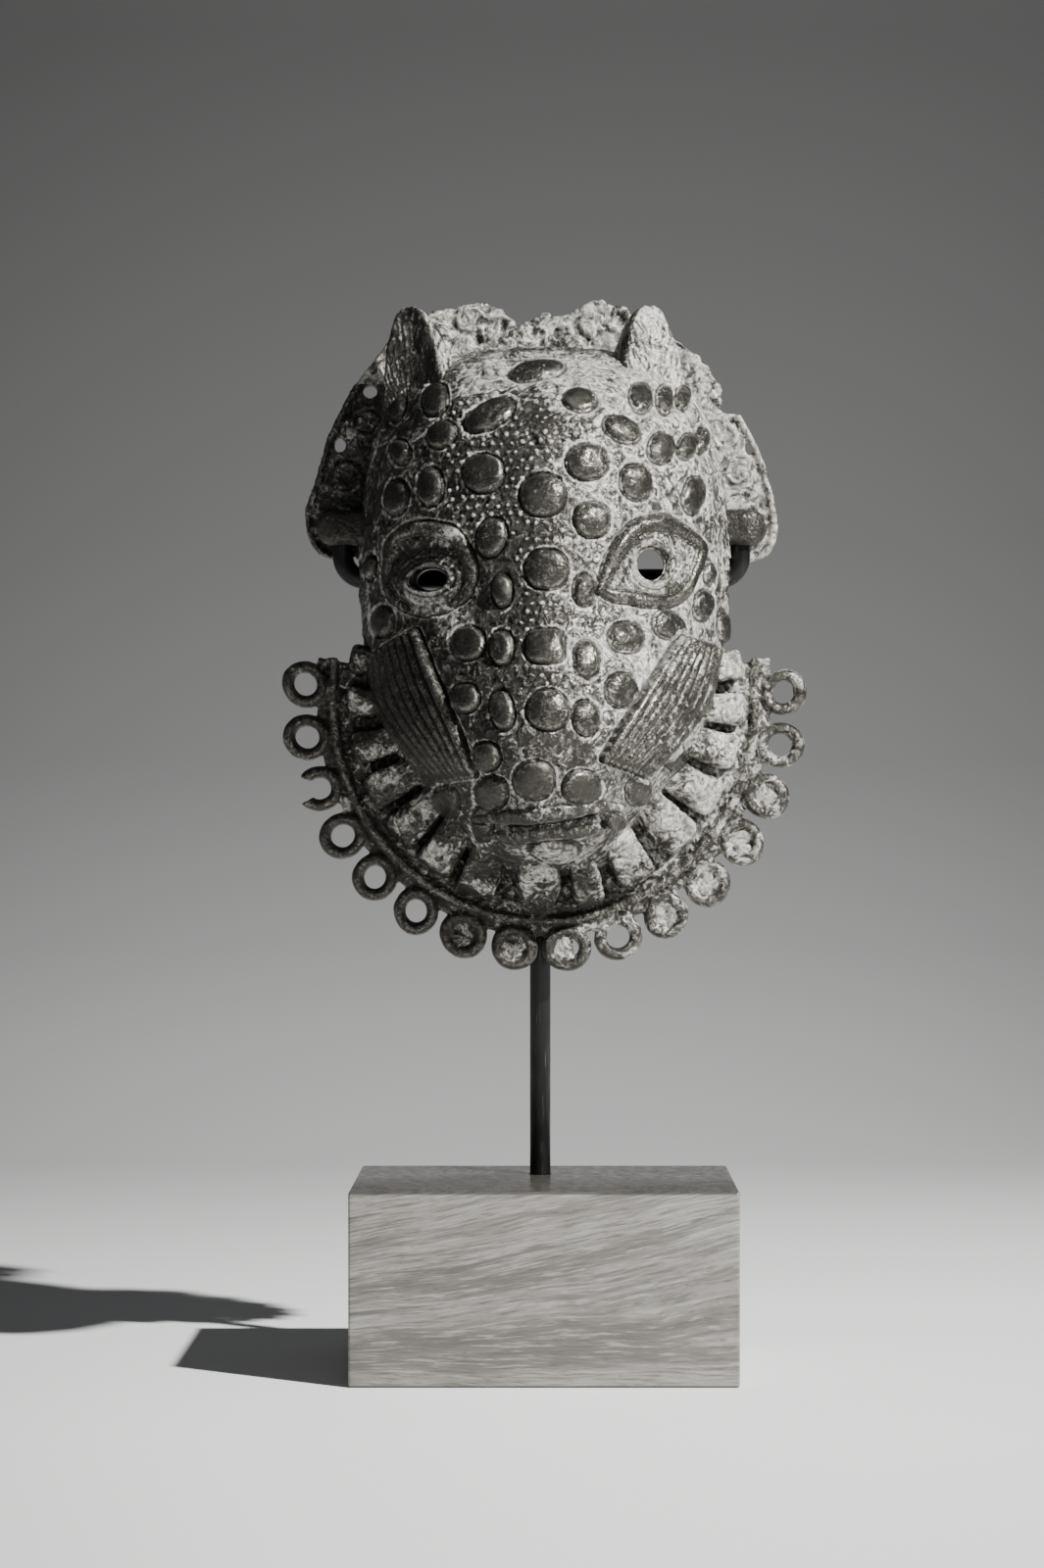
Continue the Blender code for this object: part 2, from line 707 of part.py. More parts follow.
def make_mask():
    brass = material("aged brass", (0.20, 0.165, 0.115), 0.48, 0.85)
    mask = head_form("mask", 0.0, HEAD_BACK, HEAD_ROWS, HEAD_COLUMNS)
    mask.data.materials.append(brass)
    combine(mask, collar() + crest() + ears() + lugs(), "UNION")
    combine(mask, loops() + curls(), "UNION")
    combine(mask, spots() + whiskers() + pleats() + mouth() + eyes(), "UNION")
    cavity = head_form("hollow", HEAD_WALL, HEAD_BACK + 0.03, HOLLOW_ROWS, HOLLOW_COLUMNS)
    combine(mask, [cavity] + eye_cuts() + loop_cuts() + pierced_cuts(), "DIFFERENCE")
    thinner = mask.modifiers.new("fewer facets", "DECIMATE")
    thinner.ratio = FACET_SHARE
    combine(mask, [low_rim_cut()] + sockets(), "DIFFERENCE")
    hang(mask)
    return mask


def make_mount():
    steel = material("blackened steel", (0.012, 0.012, 0.013), 0.42, 0.9)
    top = BAR_TALL + ROD_THICK / 2 + STUB_TALL + SOCKET_DEEP - FIT_GAP
    left = [(-BAR_LEFT, ROD_Y, top)]
    right = [(BAR_RIGHT, ROD_Y, top)]
    for step in range(ELBOW_STEPS + 1):
        angle = math.radians(90 * step / ELBOW_STEPS)
        inwards = BAR_BEND * (1 - math.cos(angle))
        height = BAR_TALL + BAR_BEND * (1 - math.sin(angle))
        left.append((-BAR_LEFT + inwards, ROD_Y, height))
        right.append((BAR_RIGHT - inwards, ROD_Y, height))
    line = left + right[::-1]
    mount = tube("mount_rod", line, ROD_THICK, ROD_SIDES)
    mount.data.materials.append(steel)
    foot = BLOCK_TALL - ROD_SEAT
    rod = rod_between("upright", (ROD_X, ROD_Y, foot), (ROD_X, ROD_Y, BAR_TALL), ROD_THICK)
    combine(mount, [rod], "UNION")
    return mount


def make_block():
    wood = material("oiled wood", (0.42, 0.33, 0.22), 0.5, 0.0)
    half_wide = BLOCK_WIDE / 2
    half_deep = BLOCK_DEEP / 2
    outline = [(-half_wide, 0), (half_wide, 0), (half_wide, BLOCK_TALL), (-half_wide, BLOCK_TALL)]
    block = plate("wood_block", outline, -half_deep, half_deep)
    block.data.materials.append(wood)
    wide = ROD_THICK + 2 * FIT_GAP
    start = (ROD_X, ROD_Y, BLOCK_TALL - ROD_SEAT - FIT_GAP)
    hole = rod_between("rod hole", start, (ROD_X, ROD_Y, BLOCK_TALL + ROD_HOLE_REACH), wide)
    edge = block.modifiers.new("edge", "BEVEL")
    edge.width = BLOCK_EDGE
    edge.segments = 1
    combine(block, [hole], "DIFFERENCE")
    return block


make_block()
make_mount()
make_mask()
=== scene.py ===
# A leopard-head hip mask of aged brass, held by a black metal bar in a wooden block.
# Metres in the frame of the imported model, +Z up, face towards -Y. Measured places are in mm.
import math

import bpy
import numpy as np
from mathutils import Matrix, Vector


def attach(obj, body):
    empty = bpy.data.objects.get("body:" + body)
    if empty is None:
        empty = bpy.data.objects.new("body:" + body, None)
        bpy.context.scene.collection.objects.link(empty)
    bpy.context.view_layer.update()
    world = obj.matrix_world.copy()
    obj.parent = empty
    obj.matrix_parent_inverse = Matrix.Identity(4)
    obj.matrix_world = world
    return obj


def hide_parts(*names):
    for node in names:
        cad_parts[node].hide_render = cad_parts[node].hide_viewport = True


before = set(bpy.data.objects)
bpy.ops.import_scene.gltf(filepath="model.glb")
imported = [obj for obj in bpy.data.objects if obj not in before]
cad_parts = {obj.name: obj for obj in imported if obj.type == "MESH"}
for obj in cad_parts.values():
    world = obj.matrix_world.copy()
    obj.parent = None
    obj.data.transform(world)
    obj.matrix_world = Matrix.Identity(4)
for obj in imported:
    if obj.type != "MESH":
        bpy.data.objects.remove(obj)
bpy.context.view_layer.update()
mm = 0.001


def selectOnly(piece):
    bpy.ops.object.select_all(action="DESELECT")
    piece.select_set(True)
    bpy.context.view_layer.objects.active = piece


def applyModifier(piece, kind, **settings):
    selectOnly(piece)
    step = piece.modifiers.new(kind.lower(), kind)
    for name, value in settings.items():
        setattr(step, name, value)
    bpy.ops.object.modifier_apply(modifier=step.name)


def joinAll(pieces, name):
    bpy.ops.object.select_all(action="DESELECT")
    for piece in pieces:
        piece.select_set(True)
    bpy.context.view_layer.objects.active = pieces[0]
    bpy.ops.object.join()
    pieces[0].name = name
    pieces[0].data.name = name
    return pieces[0]


def readPoints(piece):  # vertex places in mm
    flat = np.empty(len(piece.data.vertices) * 3)
    piece.data.vertices.foreach_get("co", flat)
    return flat.reshape(-1, 3) / mm


def writePoints(piece, places):
    piece.data.vertices.foreach_set("co", (places * mm).ravel())
    piece.data.update()


def readNormals(piece):
    flat = np.empty(len(piece.data.vertices) * 3)
    piece.data.vertex_normals.foreach_get("vector", flat)
    return flat.reshape(-1, 3)


def writeAttribute(piece, name, values):
    layer = piece.data.attributes.get(name) or piece.data.attributes.new(name, "FLOAT", "POINT")
    layer.data.foreach_set("value", np.asarray(values, float).ravel())


def loft(name, rings):  # closed solid through rings of equally many points in mm
    count = len(rings[0])
    corners = [tuple(np.asarray(point) * mm) for ring in rings for point in ring]
    faces = []
    for row in range(len(rings) - 1):
        for side in range(count):
            a = row * count + side
            b = row * count + (side + 1) % count
            faces.append((a, b, b + count, a + count))
    faces.append(tuple(reversed(range(count))))
    faces.append(tuple(range(len(corners) - count, len(corners))))
    mesh = bpy.data.meshes.new(name)
    mesh.from_pydata(corners, [], faces)
    made = bpy.data.objects.new(name, mesh)
    bpy.context.scene.collection.objects.link(made)
    selectOnly(made)
    bpy.ops.object.mode_set(mode="EDIT")
    bpy.ops.mesh.select_all(action="SELECT")
    bpy.ops.mesh.normals_make_consistent(inside=False)
    bpy.ops.object.mode_set(mode="OBJECT")
    return made


def plate(name, outline, front, back):  # flat plate between two depths, from (x, z) points in mm
    return loft(name, [[(x, front, z) for x, z in outline], [(x, back, z) for x, z in outline]])


def circle(count):  # (cosine, sine) pairs at even steps round a circle
    turns = [2 * math.pi * step / count for step in range(count)]
    return [(math.cos(turn), math.sin(turn)) for turn in turns]


def oval(midX, midZ, halfWide, halfTall, count):  # (x, z) points round an oval
    return [(midX + halfWide * c, midZ + halfTall * s) for c, s in circle(count)]


def squared(c, s, power):  # how far a rounded square reaches beyond the circle in one direction
    return (abs(c) ** power + abs(s) ** power) ** (-1 / power)


def pin(name, midX, midY, radius, low, high, sides):  # upright round bar between two heights
    return loft(name, [[(x, y, z) for x, y in oval(midX, midY, radius, radius, sides)] for z in (low, high)])


def cutAway(piece, cutter):
    applyModifier(piece, "BOOLEAN", operation="DIFFERENCE", solver="EXACT", object=cutter)
    bpy.data.objects.remove(cutter)


def bar(name, line, radius, sides=12, taper=0.0):  # round bar along (x, y, z) points in mm
    line = np.asarray(line, float)
    ahead = np.vstack((line[1:], line[-1:]))
    behind = np.vstack((line[:1], line[:-1]))
    rings = []
    for number, (place, along) in enumerate(zip(line, ahead - behind)):
        along = along / np.linalg.norm(along)
        across = np.cross(along, (0, 1, 0))
        across = across / np.linalg.norm(across)
        out = np.cross(across, along)
        share = number / (len(line) - 1)
        size = radius * (1 - taper * abs(2 * share - 1) ** 3)
        rings.append([place + across * size * c + out * size * s for c, s in circle(sides)])
    return loft(name, rings)


def smoothLine(points, count):  # evenly stepped places on a smooth curve through a few
    points = np.asarray(points, float)
    last = len(points) - 1
    made = []
    for place in np.linspace(0, last, count):
        at = min(int(place), last - 1)
        t = place - at
        p, q, r, s = (points[min(max(at + step, 0), last)] for step in (-1, 0, 1, 2))
        square, cube = 2 * p - 5 * q + 4 * r - s, 3 * q - p - 3 * r + s
        made.append(0.5 * (2 * q + (r - p) * t + square * t * t + cube * t ** 3))
    return np.array(made)


def softNoise(places, size, seed):  # smooth values from -1 to 1, with lumps of the given size in mm
    table = np.random.default_rng(seed).uniform(-1, 1, (32, 32, 32))
    spot = places / size
    base = np.floor(spot).astype(int)
    part = spot - base
    part = part * part * (3 - 2 * part)
    total = np.zeros(len(places))
    for corner in range(8):
        step = np.array([(corner >> axis) & 1 for axis in range(3)])
        weight = np.prod(np.where(step, part, 1 - part), axis=1)
        at = (base + step) % 32
        total += weight * table[at[:, 0], at[:, 1], at[:, 2]]
    return total * 1.5


def ease(low, high, value):  # 0 below low, 1 above high, smooth between
    t = np.clip((value - low) / (high - low), 0, 1)
    return t * t * (3 - 2 * t)


def lineDistance(x, z, line):  # how far each place is from a line of (x, z) points, and where along it
    best = np.full(len(x), 1e9)
    along = np.zeros(len(x))
    for number, ((ax, az), (bx, bz)) in enumerate(zip(line, line[1:])):
        dx, dz = bx - ax, bz - az
        t = np.clip(((x - ax) * dx + (z - az) * dz) / (dx * dx + dz * dz), 0, 1)
        away = np.hypot(x - ax - t * dx, z - az - t * dz)
        near = away < best
        best = np.where(near, away, best)
        along = np.where(near, (number + t) / (len(line) - 1), along)
    return best, along


def readProfile(points, share):  # smooth curve through a few (share, value) points
    xs, ys = np.array(points, float).T
    last = len(xs) - 1
    order = np.arange(last + 1)
    up, down = np.minimum(order + 1, last), np.maximum(order - 1, 0)
    slope = (ys[up] - ys[down]) / (xs[up] - xs[down])
    at = np.clip(np.searchsorted(xs, share, side="right") - 1, 0, last - 1)
    gap = xs[at + 1] - xs[at]
    t = np.clip((share - xs[at]) / gap, 0, 1)
    low = (2 * t ** 3 - 3 * t ** 2 + 1) * ys[at] + (3 * t ** 2 - 2 * t ** 3) * ys[at + 1]
    return low + (t ** 3 - 2 * t ** 2 + t) * slope[at] * gap + (t ** 3 - t ** 2) * slope[at + 1] * gap


def evened(piece, rounds):  # vertex places after some rounds of averaging with their neighbours
    edges = np.empty(len(piece.data.edges) * 2, dtype=int)
    piece.data.edges.foreach_get("vertices", edges)
    first, second = edges.reshape(-1, 2).T
    places = readPoints(piece)
    count = len(places)
    share = np.bincount(first, minlength=count) + np.bincount(second, minlength=count)
    share = np.maximum(share, 1)[:, None]
    for _ in range(rounds):
        total = np.empty_like(places)
        for axis in range(3):
            total[:, axis] = np.bincount(first, places[second, axis], count)
            total[:, axis] += np.bincount(second, places[first, axis], count)
        places = 0.4 * places + 0.6 * total / share
    return places


def newMaterial(name):
    made = bpy.data.materials.new(name)
    made.use_nodes = True
    tree = made.node_tree
    return made, tree, tree.nodes["Principled BSDF"]


def node(tree, kind, inputs=None, **settings):
    made = tree.nodes.new("ShaderNode" + kind)
    for name, value in settings.items():
        setattr(made, name, value)
    for name, value in (inputs or {}).items():
        if isinstance(value, bpy.types.NodeSocket):
            tree.links.new(value, made.inputs[name])
        else:
            made.inputs[name].default_value = value
    return made


def math2(tree, kind, first, second=0.0):
    return node(tree, "Math", {0: first, 1: second}, operation=kind).outputs[0]


def plus(tree, first, second):
    return math2(tree, "ADD", first, second)


def minus(tree, first, second):
    return math2(tree, "SUBTRACT", first, second)


def times(tree, first, second):
    return math2(tree, "MULTIPLY", first, second)


def awayFrom(tree, value, middle):  # how far a value is from a middle one
    return math2(tree, "ABSOLUTE", minus(tree, value, middle))


def mixColour(tree, share, first, second):
    made = node(tree, "Mix", {0: share}, data_type="RGBA")
    for index, colour in ((6, first), (7, second)):
        if isinstance(colour, bpy.types.NodeSocket):
            tree.links.new(colour, made.inputs[index])
        else:
            made.inputs[index].default_value = (*colour, 1.0)
    return made.outputs[2]


def spread(tree, value, low, high, toLow=0.0, toHigh=1.0):  # eases low..high to toLow..toHigh, clamped
    limits = {"Value": value, "From Min": low, "From Max": high, "To Min": toLow, "To Max": toHigh}
    return node(tree, "MapRange", limits, interpolation_type="SMOOTHSTEP").outputs["Result"]


def noise(tree, place, scale, detail=4.0, rough=0.5, distortion=0.0):
    settings = {"Vector": place, "Scale": scale, "Detail": detail, "Roughness": rough, "Distortion": distortion}
    return node(tree, "TexNoise", settings).outputs["Fac"]


# Head of the mask: a shell whose outline and depth follow two profiles, with sizes and places in mm
head = {
    "foot": 127.5, "tall": 145.0, "half": 50.5, "deep": 75.2, "back": 18.5, "wall": 2.8, "overlap": 0.8,
    "lowRim": 5.0, "lowRimTop": 214.5, "columns": 130, "rows": 150,
    # share of the height, then share of the half width or of the depth
    "widths": ((0, 0), (0.03, 0.32), (0.115, 0.52), (0.26, 0.83), (0.40, 0.955), (0.55, 1.0), (0.71, 0.97),
               (0.85, 0.88), (0.94, 0.70), (0.985, 0.40), (1, 0)),
    "depths": ((0, 0), (0.03, 0.45), (0.10, 0.82), (0.16, 0.93), (0.26, 0.99), (0.36, 0.95), (0.50, 0.85),
               (0.65, 0.81), (0.80, 0.725), (0.91, 0.53), (0.98, 0.24), (1, 0)),
    # nose ridge forward and eye sockets back: depth, x, z, half width, half height
    "swells": ((2.4, 0, 200, 10, 34), (-2.0, -28.3, 206.5, 16, 12), (-2.0, 27.2, 210.0, 16, 12)),
    # eye holes: x, z, half width, half height
    "eyes": ((-28.7, 206.5, 3.9, 2.7), (27.2, 210.3, 3.5, 4.0)),
    # pale and dull parts of the crust, with painted light and shade: amount, x, z, half width, half height
    "tonesAndPaintedLight": (
        (-0.10, 4, 142, 22, 7), (0.5, 2.7, 137.3, 5.5, 2.5),  # chin and tongue
        (0.6, -30, 199.6, 8, 3.2), (0.8, -23.6, 217.7, 4.0, 2.2),  # pale crust below the left eye and a painted highlight above it
        (-0.2, -14, 182, 12, 22), (-0.12, -34, 215, 14, 30),  # painted shade on the cheek and temple
        (0.5, -22, 190, 5, 6), (0.3, -17, 252, 6, 9),  # pale bits among the spots
        (-0.4, -4, 269.5, 9, 1.6), (-0.4, 10, 270, 7, 1.8),  # painted shadow under the crest
        (0.30, 32, 176, 12, 16), (-0.2, -33, 177, 12, 18)),  # lit whiskers made paler and shaded ones darker: painted light and shade
    "voxel": 0.40, "triangles": 194000,
}


def hills(x, z, places):  # sum of soft hills, each with its height, middle, half width and half height
    return sum(height * hill(x, z, *place) for height, *place in places)


def hill(x, z, midX, midZ, halfX, halfZ):
    return np.exp(-((x - midX) / halfX) ** 2 - ((z - midZ) / halfZ) ** 2)


def faceSwell(x, z):
    return hills(x, z, head["swells"])


def headReach(z):  # half width and depth of the head at a height
    share = np.clip((z - head["foot"]) / head["tall"], 0.001, 0.999)
    return readProfile(head["widths"], share) * head["half"], readProfile(head["depths"], share) * head["deep"]


def buildShell():
    bpy.ops.object.select_all(action="DESELECT")
    bpy.ops.mesh.primitive_grid_add(x_subdivisions=head["columns"], y_subdivisions=head["rows"], size=2)
    shell = bpy.context.object
    grid = readPoints(shell) * mm
    angle = grid[:, 0] * math.pi / 2
    share = 0.5 - 0.5 * np.cos(math.pi * (grid[:, 1] + 1) / 2)
    half = readProfile(head["widths"], share) * head["half"]
    deep = readProfile(head["depths"], share) * head["deep"]
    x = half * np.sin(angle)
    z = head["foot"] + share * head["tall"]
    y = head["back"] - (deep + faceSwell(x, z)) * np.cos(angle)
    writePoints(shell, np.column_stack((x, y, z)))
    bpy.ops.object.mode_set(mode="EDIT")
    bpy.ops.mesh.select_all(action="SELECT")
    bpy.ops.mesh.remove_doubles(threshold=0.00001)
    bpy.ops.object.mode_set(mode="OBJECT")
    applyModifier(shell, "SOLIDIFY", thickness=head["wall"] * mm, offset=-1)
    wide, low, high = 80, 90, head["lowRimTop"]
    lowerBack = ((-wide, low), (wide, low), (wide, high), (-wide, high))
    cutAway(shell, plate("lowerBack", lowerBack, head["lowRim"], head["back"] + 30))
    for eye in head["eyes"]:
        cutAway(shell, plate("eyeHole", oval(*eye, 32), -70, 0))
    print("shell of the head ready")
    return shell


def cutHollow(pieces):  # clears ears and lugs out of the inside of the head
    inset = head["wall"] - head["overlap"]
    rings = []
    for share in np.linspace(0.012, 0.988, 40):
        z = head["foot"] + inset + share * (head["tall"] - 2 * inset)
        half, deep = (float(value) for value in headReach(z))
        turns = np.radians(np.linspace(-90, 90, 30))
        wide = max(1.0, half - inset)
        ring = [(wide * math.sin(t), head["back"] - max(1.0, deep - inset) * math.cos(t), z) for t in turns]
        rings.append(ring + [(wide, head["back"] + 30, z), (-wide, head["back"] + 30, z)])
    hollow = loft("hollow", rings)
    for piece in pieces:
        applyModifier(piece, "BOOLEAN", operation="DIFFERENCE", solver="EXACT", object=hollow)
    bpy.data.objects.remove(hollow)


# Ears: cupped in front and nearly square behind, each placed by its root and its tip
ears = {
    "places": (((-33.4, -6.0, 248.0), (-36.0, 3.0, 281.0)), ((29.6, -6.0, 249.0), (27.6, 3.0, 281.4))),
    "wide": 24.0, "deep": 24.0, "tipDeep": 2.6, "cup": 1.8, "turn": 35.0, "backSquare": 3.6,
    "rows": 26, "sides": 56, "fanFoot": 236, "fanLines": 135,
}


def buildEars():
    made = []
    for root, tip in ears["places"]:
        root, tip = Vector(root), Vector(tip)
        turn = math.radians(ears["turn"]) * (1 if root.x < 0 else -1)
        up = (tip - root).normalized()
        right = (Vector((math.cos(turn), -math.sin(turn), 0)) - up * up.x * math.cos(turn)).normalized()
        out = Vector((-math.sin(turn), -math.cos(turn), 0.25)).normalized()
        rings = []
        for row in range(ears["rows"] + 1):
            share = row / ears["rows"]
            half = ears["wide"] / 2 * (1 - share * 0.997) ** 0.36
            deep = ears["deep"] * (1 - share) ** 1.1 + ears["tipDeep"]
            front = ears["cup"] * (1 - share * 0.6)
            ring = []
            for c, s in circle(ears["sides"]):
                fore = front * (1 - abs(c) ** 7) ** 0.5 * (0.15 + 1.1 * c * c)
                # the back is nearly square, so that one side wall shows from the front
                if s <= 0:
                    scale = squared(c, s, ears["backSquare"])
                    c, fore = c * scale, deep * s * scale
                ring.append(root + (tip - root) * share + right * half * c + out * fore)
            rings.append(ring)
        made.append(loft("ear", rings))
    return made


# Side plates and broken crest: one flat plate round the head, with a rim, worn scrollwork and curls on it
crest = {
    "front": 15.5, "back": 18.5, "middle": 222.0, "rim": 0.9, "curl": 0.85, "curlLift": 0.25,
    "bits": 46, "bitReach": (1.2, 2.6), "bitThick": (0.7, 1.2), "bitLift": (0.0, 0.4),
    "edge": (
        (-55.5, 214.8), (-61.4, 217.2), (-64.0, 222.4), (-64.2, 228.0), (-61.4, 237.0), (-58.2, 247.8),
        (-51.0, 261.4), (-44.8, 268.9), (-38.0, 275.8), (-31.4, 280.8), (-26.0, 282.2), (-20.8, 283.8),
        (-16.0, 284.2), (-12.2, 282.6), (-9.0, 280.0), (-6.9, 277.4), (-4.4, 279.8), (0.4, 281.4),
        (6.0, 280.8), (9.4, 282.6), (14.0, 285.0), (17.2, 283.6), (21.5, 282.2), (28.0, 279.6), (34.2, 275.2),
        (40.0, 270.6), (45.2, 266.0), (47.4, 260.0), (47.0, 255.6), (52.6, 253.6), (56.4, 247.0),
        (59.5, 239.6), (61.8, 231.0), (62.6, 222.6), (60.4, 216.6), (55.0, 214.6)),
    "pierced": ((-46.9, 260.0, 1.9, 1.7), (-54.9, 245.6, 1.7, 2.1), (55.0, 244.6, 1.2, 2.0)),
    # middle x and z, reach, start and sweep in degrees
    "curls": (
        (-47.5, 251.5, 4.8, 60, 420), (-53.4, 237, 4.8, 200, 430), (48.5, 248.5, 3.8, 160, 420),
        (52.0, 238, 3.6, 20, 400), (-54, 225, 4.2, 20, 380), (55, 227, 3.8, 160, 400),
        (-29, 276, 3.6, 200, 320), (-20.5, 279, 3.8, 30, 320), (-12, 278.5, 3.6, 200, 320),
        (-4.5, 275, 2.8, 0, 320), (5, 276, 3.2, 180, 320), (12.5, 278, 3.4, 20, 320),
        (20, 280, 3.6, 200, 320), (38, 266, 4.2, 150, 320), (44.0, 260, 3.2, 330, 320),
        (-41, 266, 4.0, 30, 360), (57, 221, 3.2, 60, 360)),
}


def crestFoot(x, z):  # where the line from a place on the crest to the head's middle enters the head's wall
    turn = math.atan2(z - crest["middle"], x)
    away = np.arange(10.0, 66.0, 0.1)
    spotX, spotZ = away * math.cos(turn), crest["middle"] + away * math.sin(turn)
    half = headReach(spotZ)[0]
    inside = (np.abs(spotX) < half - 1.4) & (spotZ < head["foot"] + head["tall"] - 1.4)
    reach = away[inside].max()
    return reach * math.cos(turn), crest["middle"] + reach * math.sin(turn)


def buildCrest():
    outline = smoothLine(crest["edge"], 240)
    wobble = np.abs(softNoise(np.column_stack((outline, outline[:, 0])), 2.4, 11)) * 0.012
    outline = (outline - (0, crest["middle"])) * (1 - wobble[:, None]) + (0, crest["middle"])
    rings = []
    for x, z in outline:
        footX, footZ = crestFoot(x, z)
        front, back = crest["front"], crest["back"]
        rings.append([(x, front, z), (footX, front, footZ), (footX, back, footZ), (x, back, z)])
    made = loft("crest", rings)
    for hole in crest["pierced"]:
        cutAway(made, plate("pierced", oval(*hole, 16), 0, 30))
    pieces = [made]
    for edge in (crest["edge"][:9], crest["edge"][-7:]):
        line = smoothLine([(x * 0.985, crest["front"], z) for x, z in edge], 60)
        pieces.append(bar("plateRim", line, crest["rim"], 10))
    # heaped bits of worn scrollwork along the top
    random = np.random.default_rng(8)
    for _ in range(crest["bits"]):
        at = int(random.uniform(60, 190))
        x, z = outline[at] * (1 - random.uniform(0.006, 0.075)) + (0, 4 * random.uniform(-0.2, 0.3))
        reach = random.uniform(*crest["bitReach"])
        turn = random.uniform(0, 6.28)
        line = []
        for step in range(9):
            around = turn + step * 0.45
            lift = crest["front"] + random.uniform(*crest["bitLift"])
            line.append((x + reach * math.cos(around), lift, z - 2 + reach * math.sin(around)))
        pieces.append(bar("scroll", line, random.uniform(*crest["bitThick"]), 8, taper=0.4))
    for midX, midZ, reach, start, sweep in crest["curls"]:
        line = []
        for share in np.linspace(0, 1, 18):
            turn = math.radians(start + sweep * share)
            away = reach * (1 - 0.5 * share)
            lift = crest["front"] + crest["curlLift"]
            line.append((midX + away * math.cos(turn), lift, midZ + away * math.sin(turn)))
        pieces.append(bar("curl", line, crest["curl"], 8, taper=0.3))
    return pieces


# Lugs that the mask hangs by: rounded bars out of the head's sides, each with a socket in its underside
lugs = {
    "middles": (-53.9, 52.4), "low": 218.05, "tall": 9.8, "front": 6.0, "back": 17.0, "inner": 6.5, "long": 13.7,
    "square": 3.4, "roundFrom": 0.55, "socket": 3.05, "socketTop": 6.4, "steps": 16, "sides": 40,
}


def buildLugs():
    made = []
    middleY, halfDeep = (lugs["front"] + lugs["back"]) / 2, (lugs["back"] - lugs["front"]) / 2
    for middle in lugs["middles"]:
        side = 1 if middle > 0 else -1
        rings = []
        for step in range(lugs["steps"] + 1):
            share = step / lugs["steps"]
            rounded = max(0.0, (share - lugs["roundFrom"]) / (1 - lugs["roundFrom"]))
            close = math.sqrt(max(0.02, 1 - rounded ** 3))
            x = middle + side * (lugs["long"] * share - lugs["inner"])
            ring = []
            for c, s in circle(lugs["sides"]):
                scale = squared(c, s, lugs["square"]) * close
                ring.append((x, middleY + halfDeep * c * scale, lugs["low"] + lugs["tall"] / 2 * (1 + s * scale)))
            rings.append(ring)
        lug = loft("lug", rings)
        low, high = lugs["low"] - 4, lugs["low"] + lugs["socketTop"]
        cutAway(lug, pin("socket", middle, mount["y"], lugs["socket"], low, high, 32))
        made.append(lug)
    return made


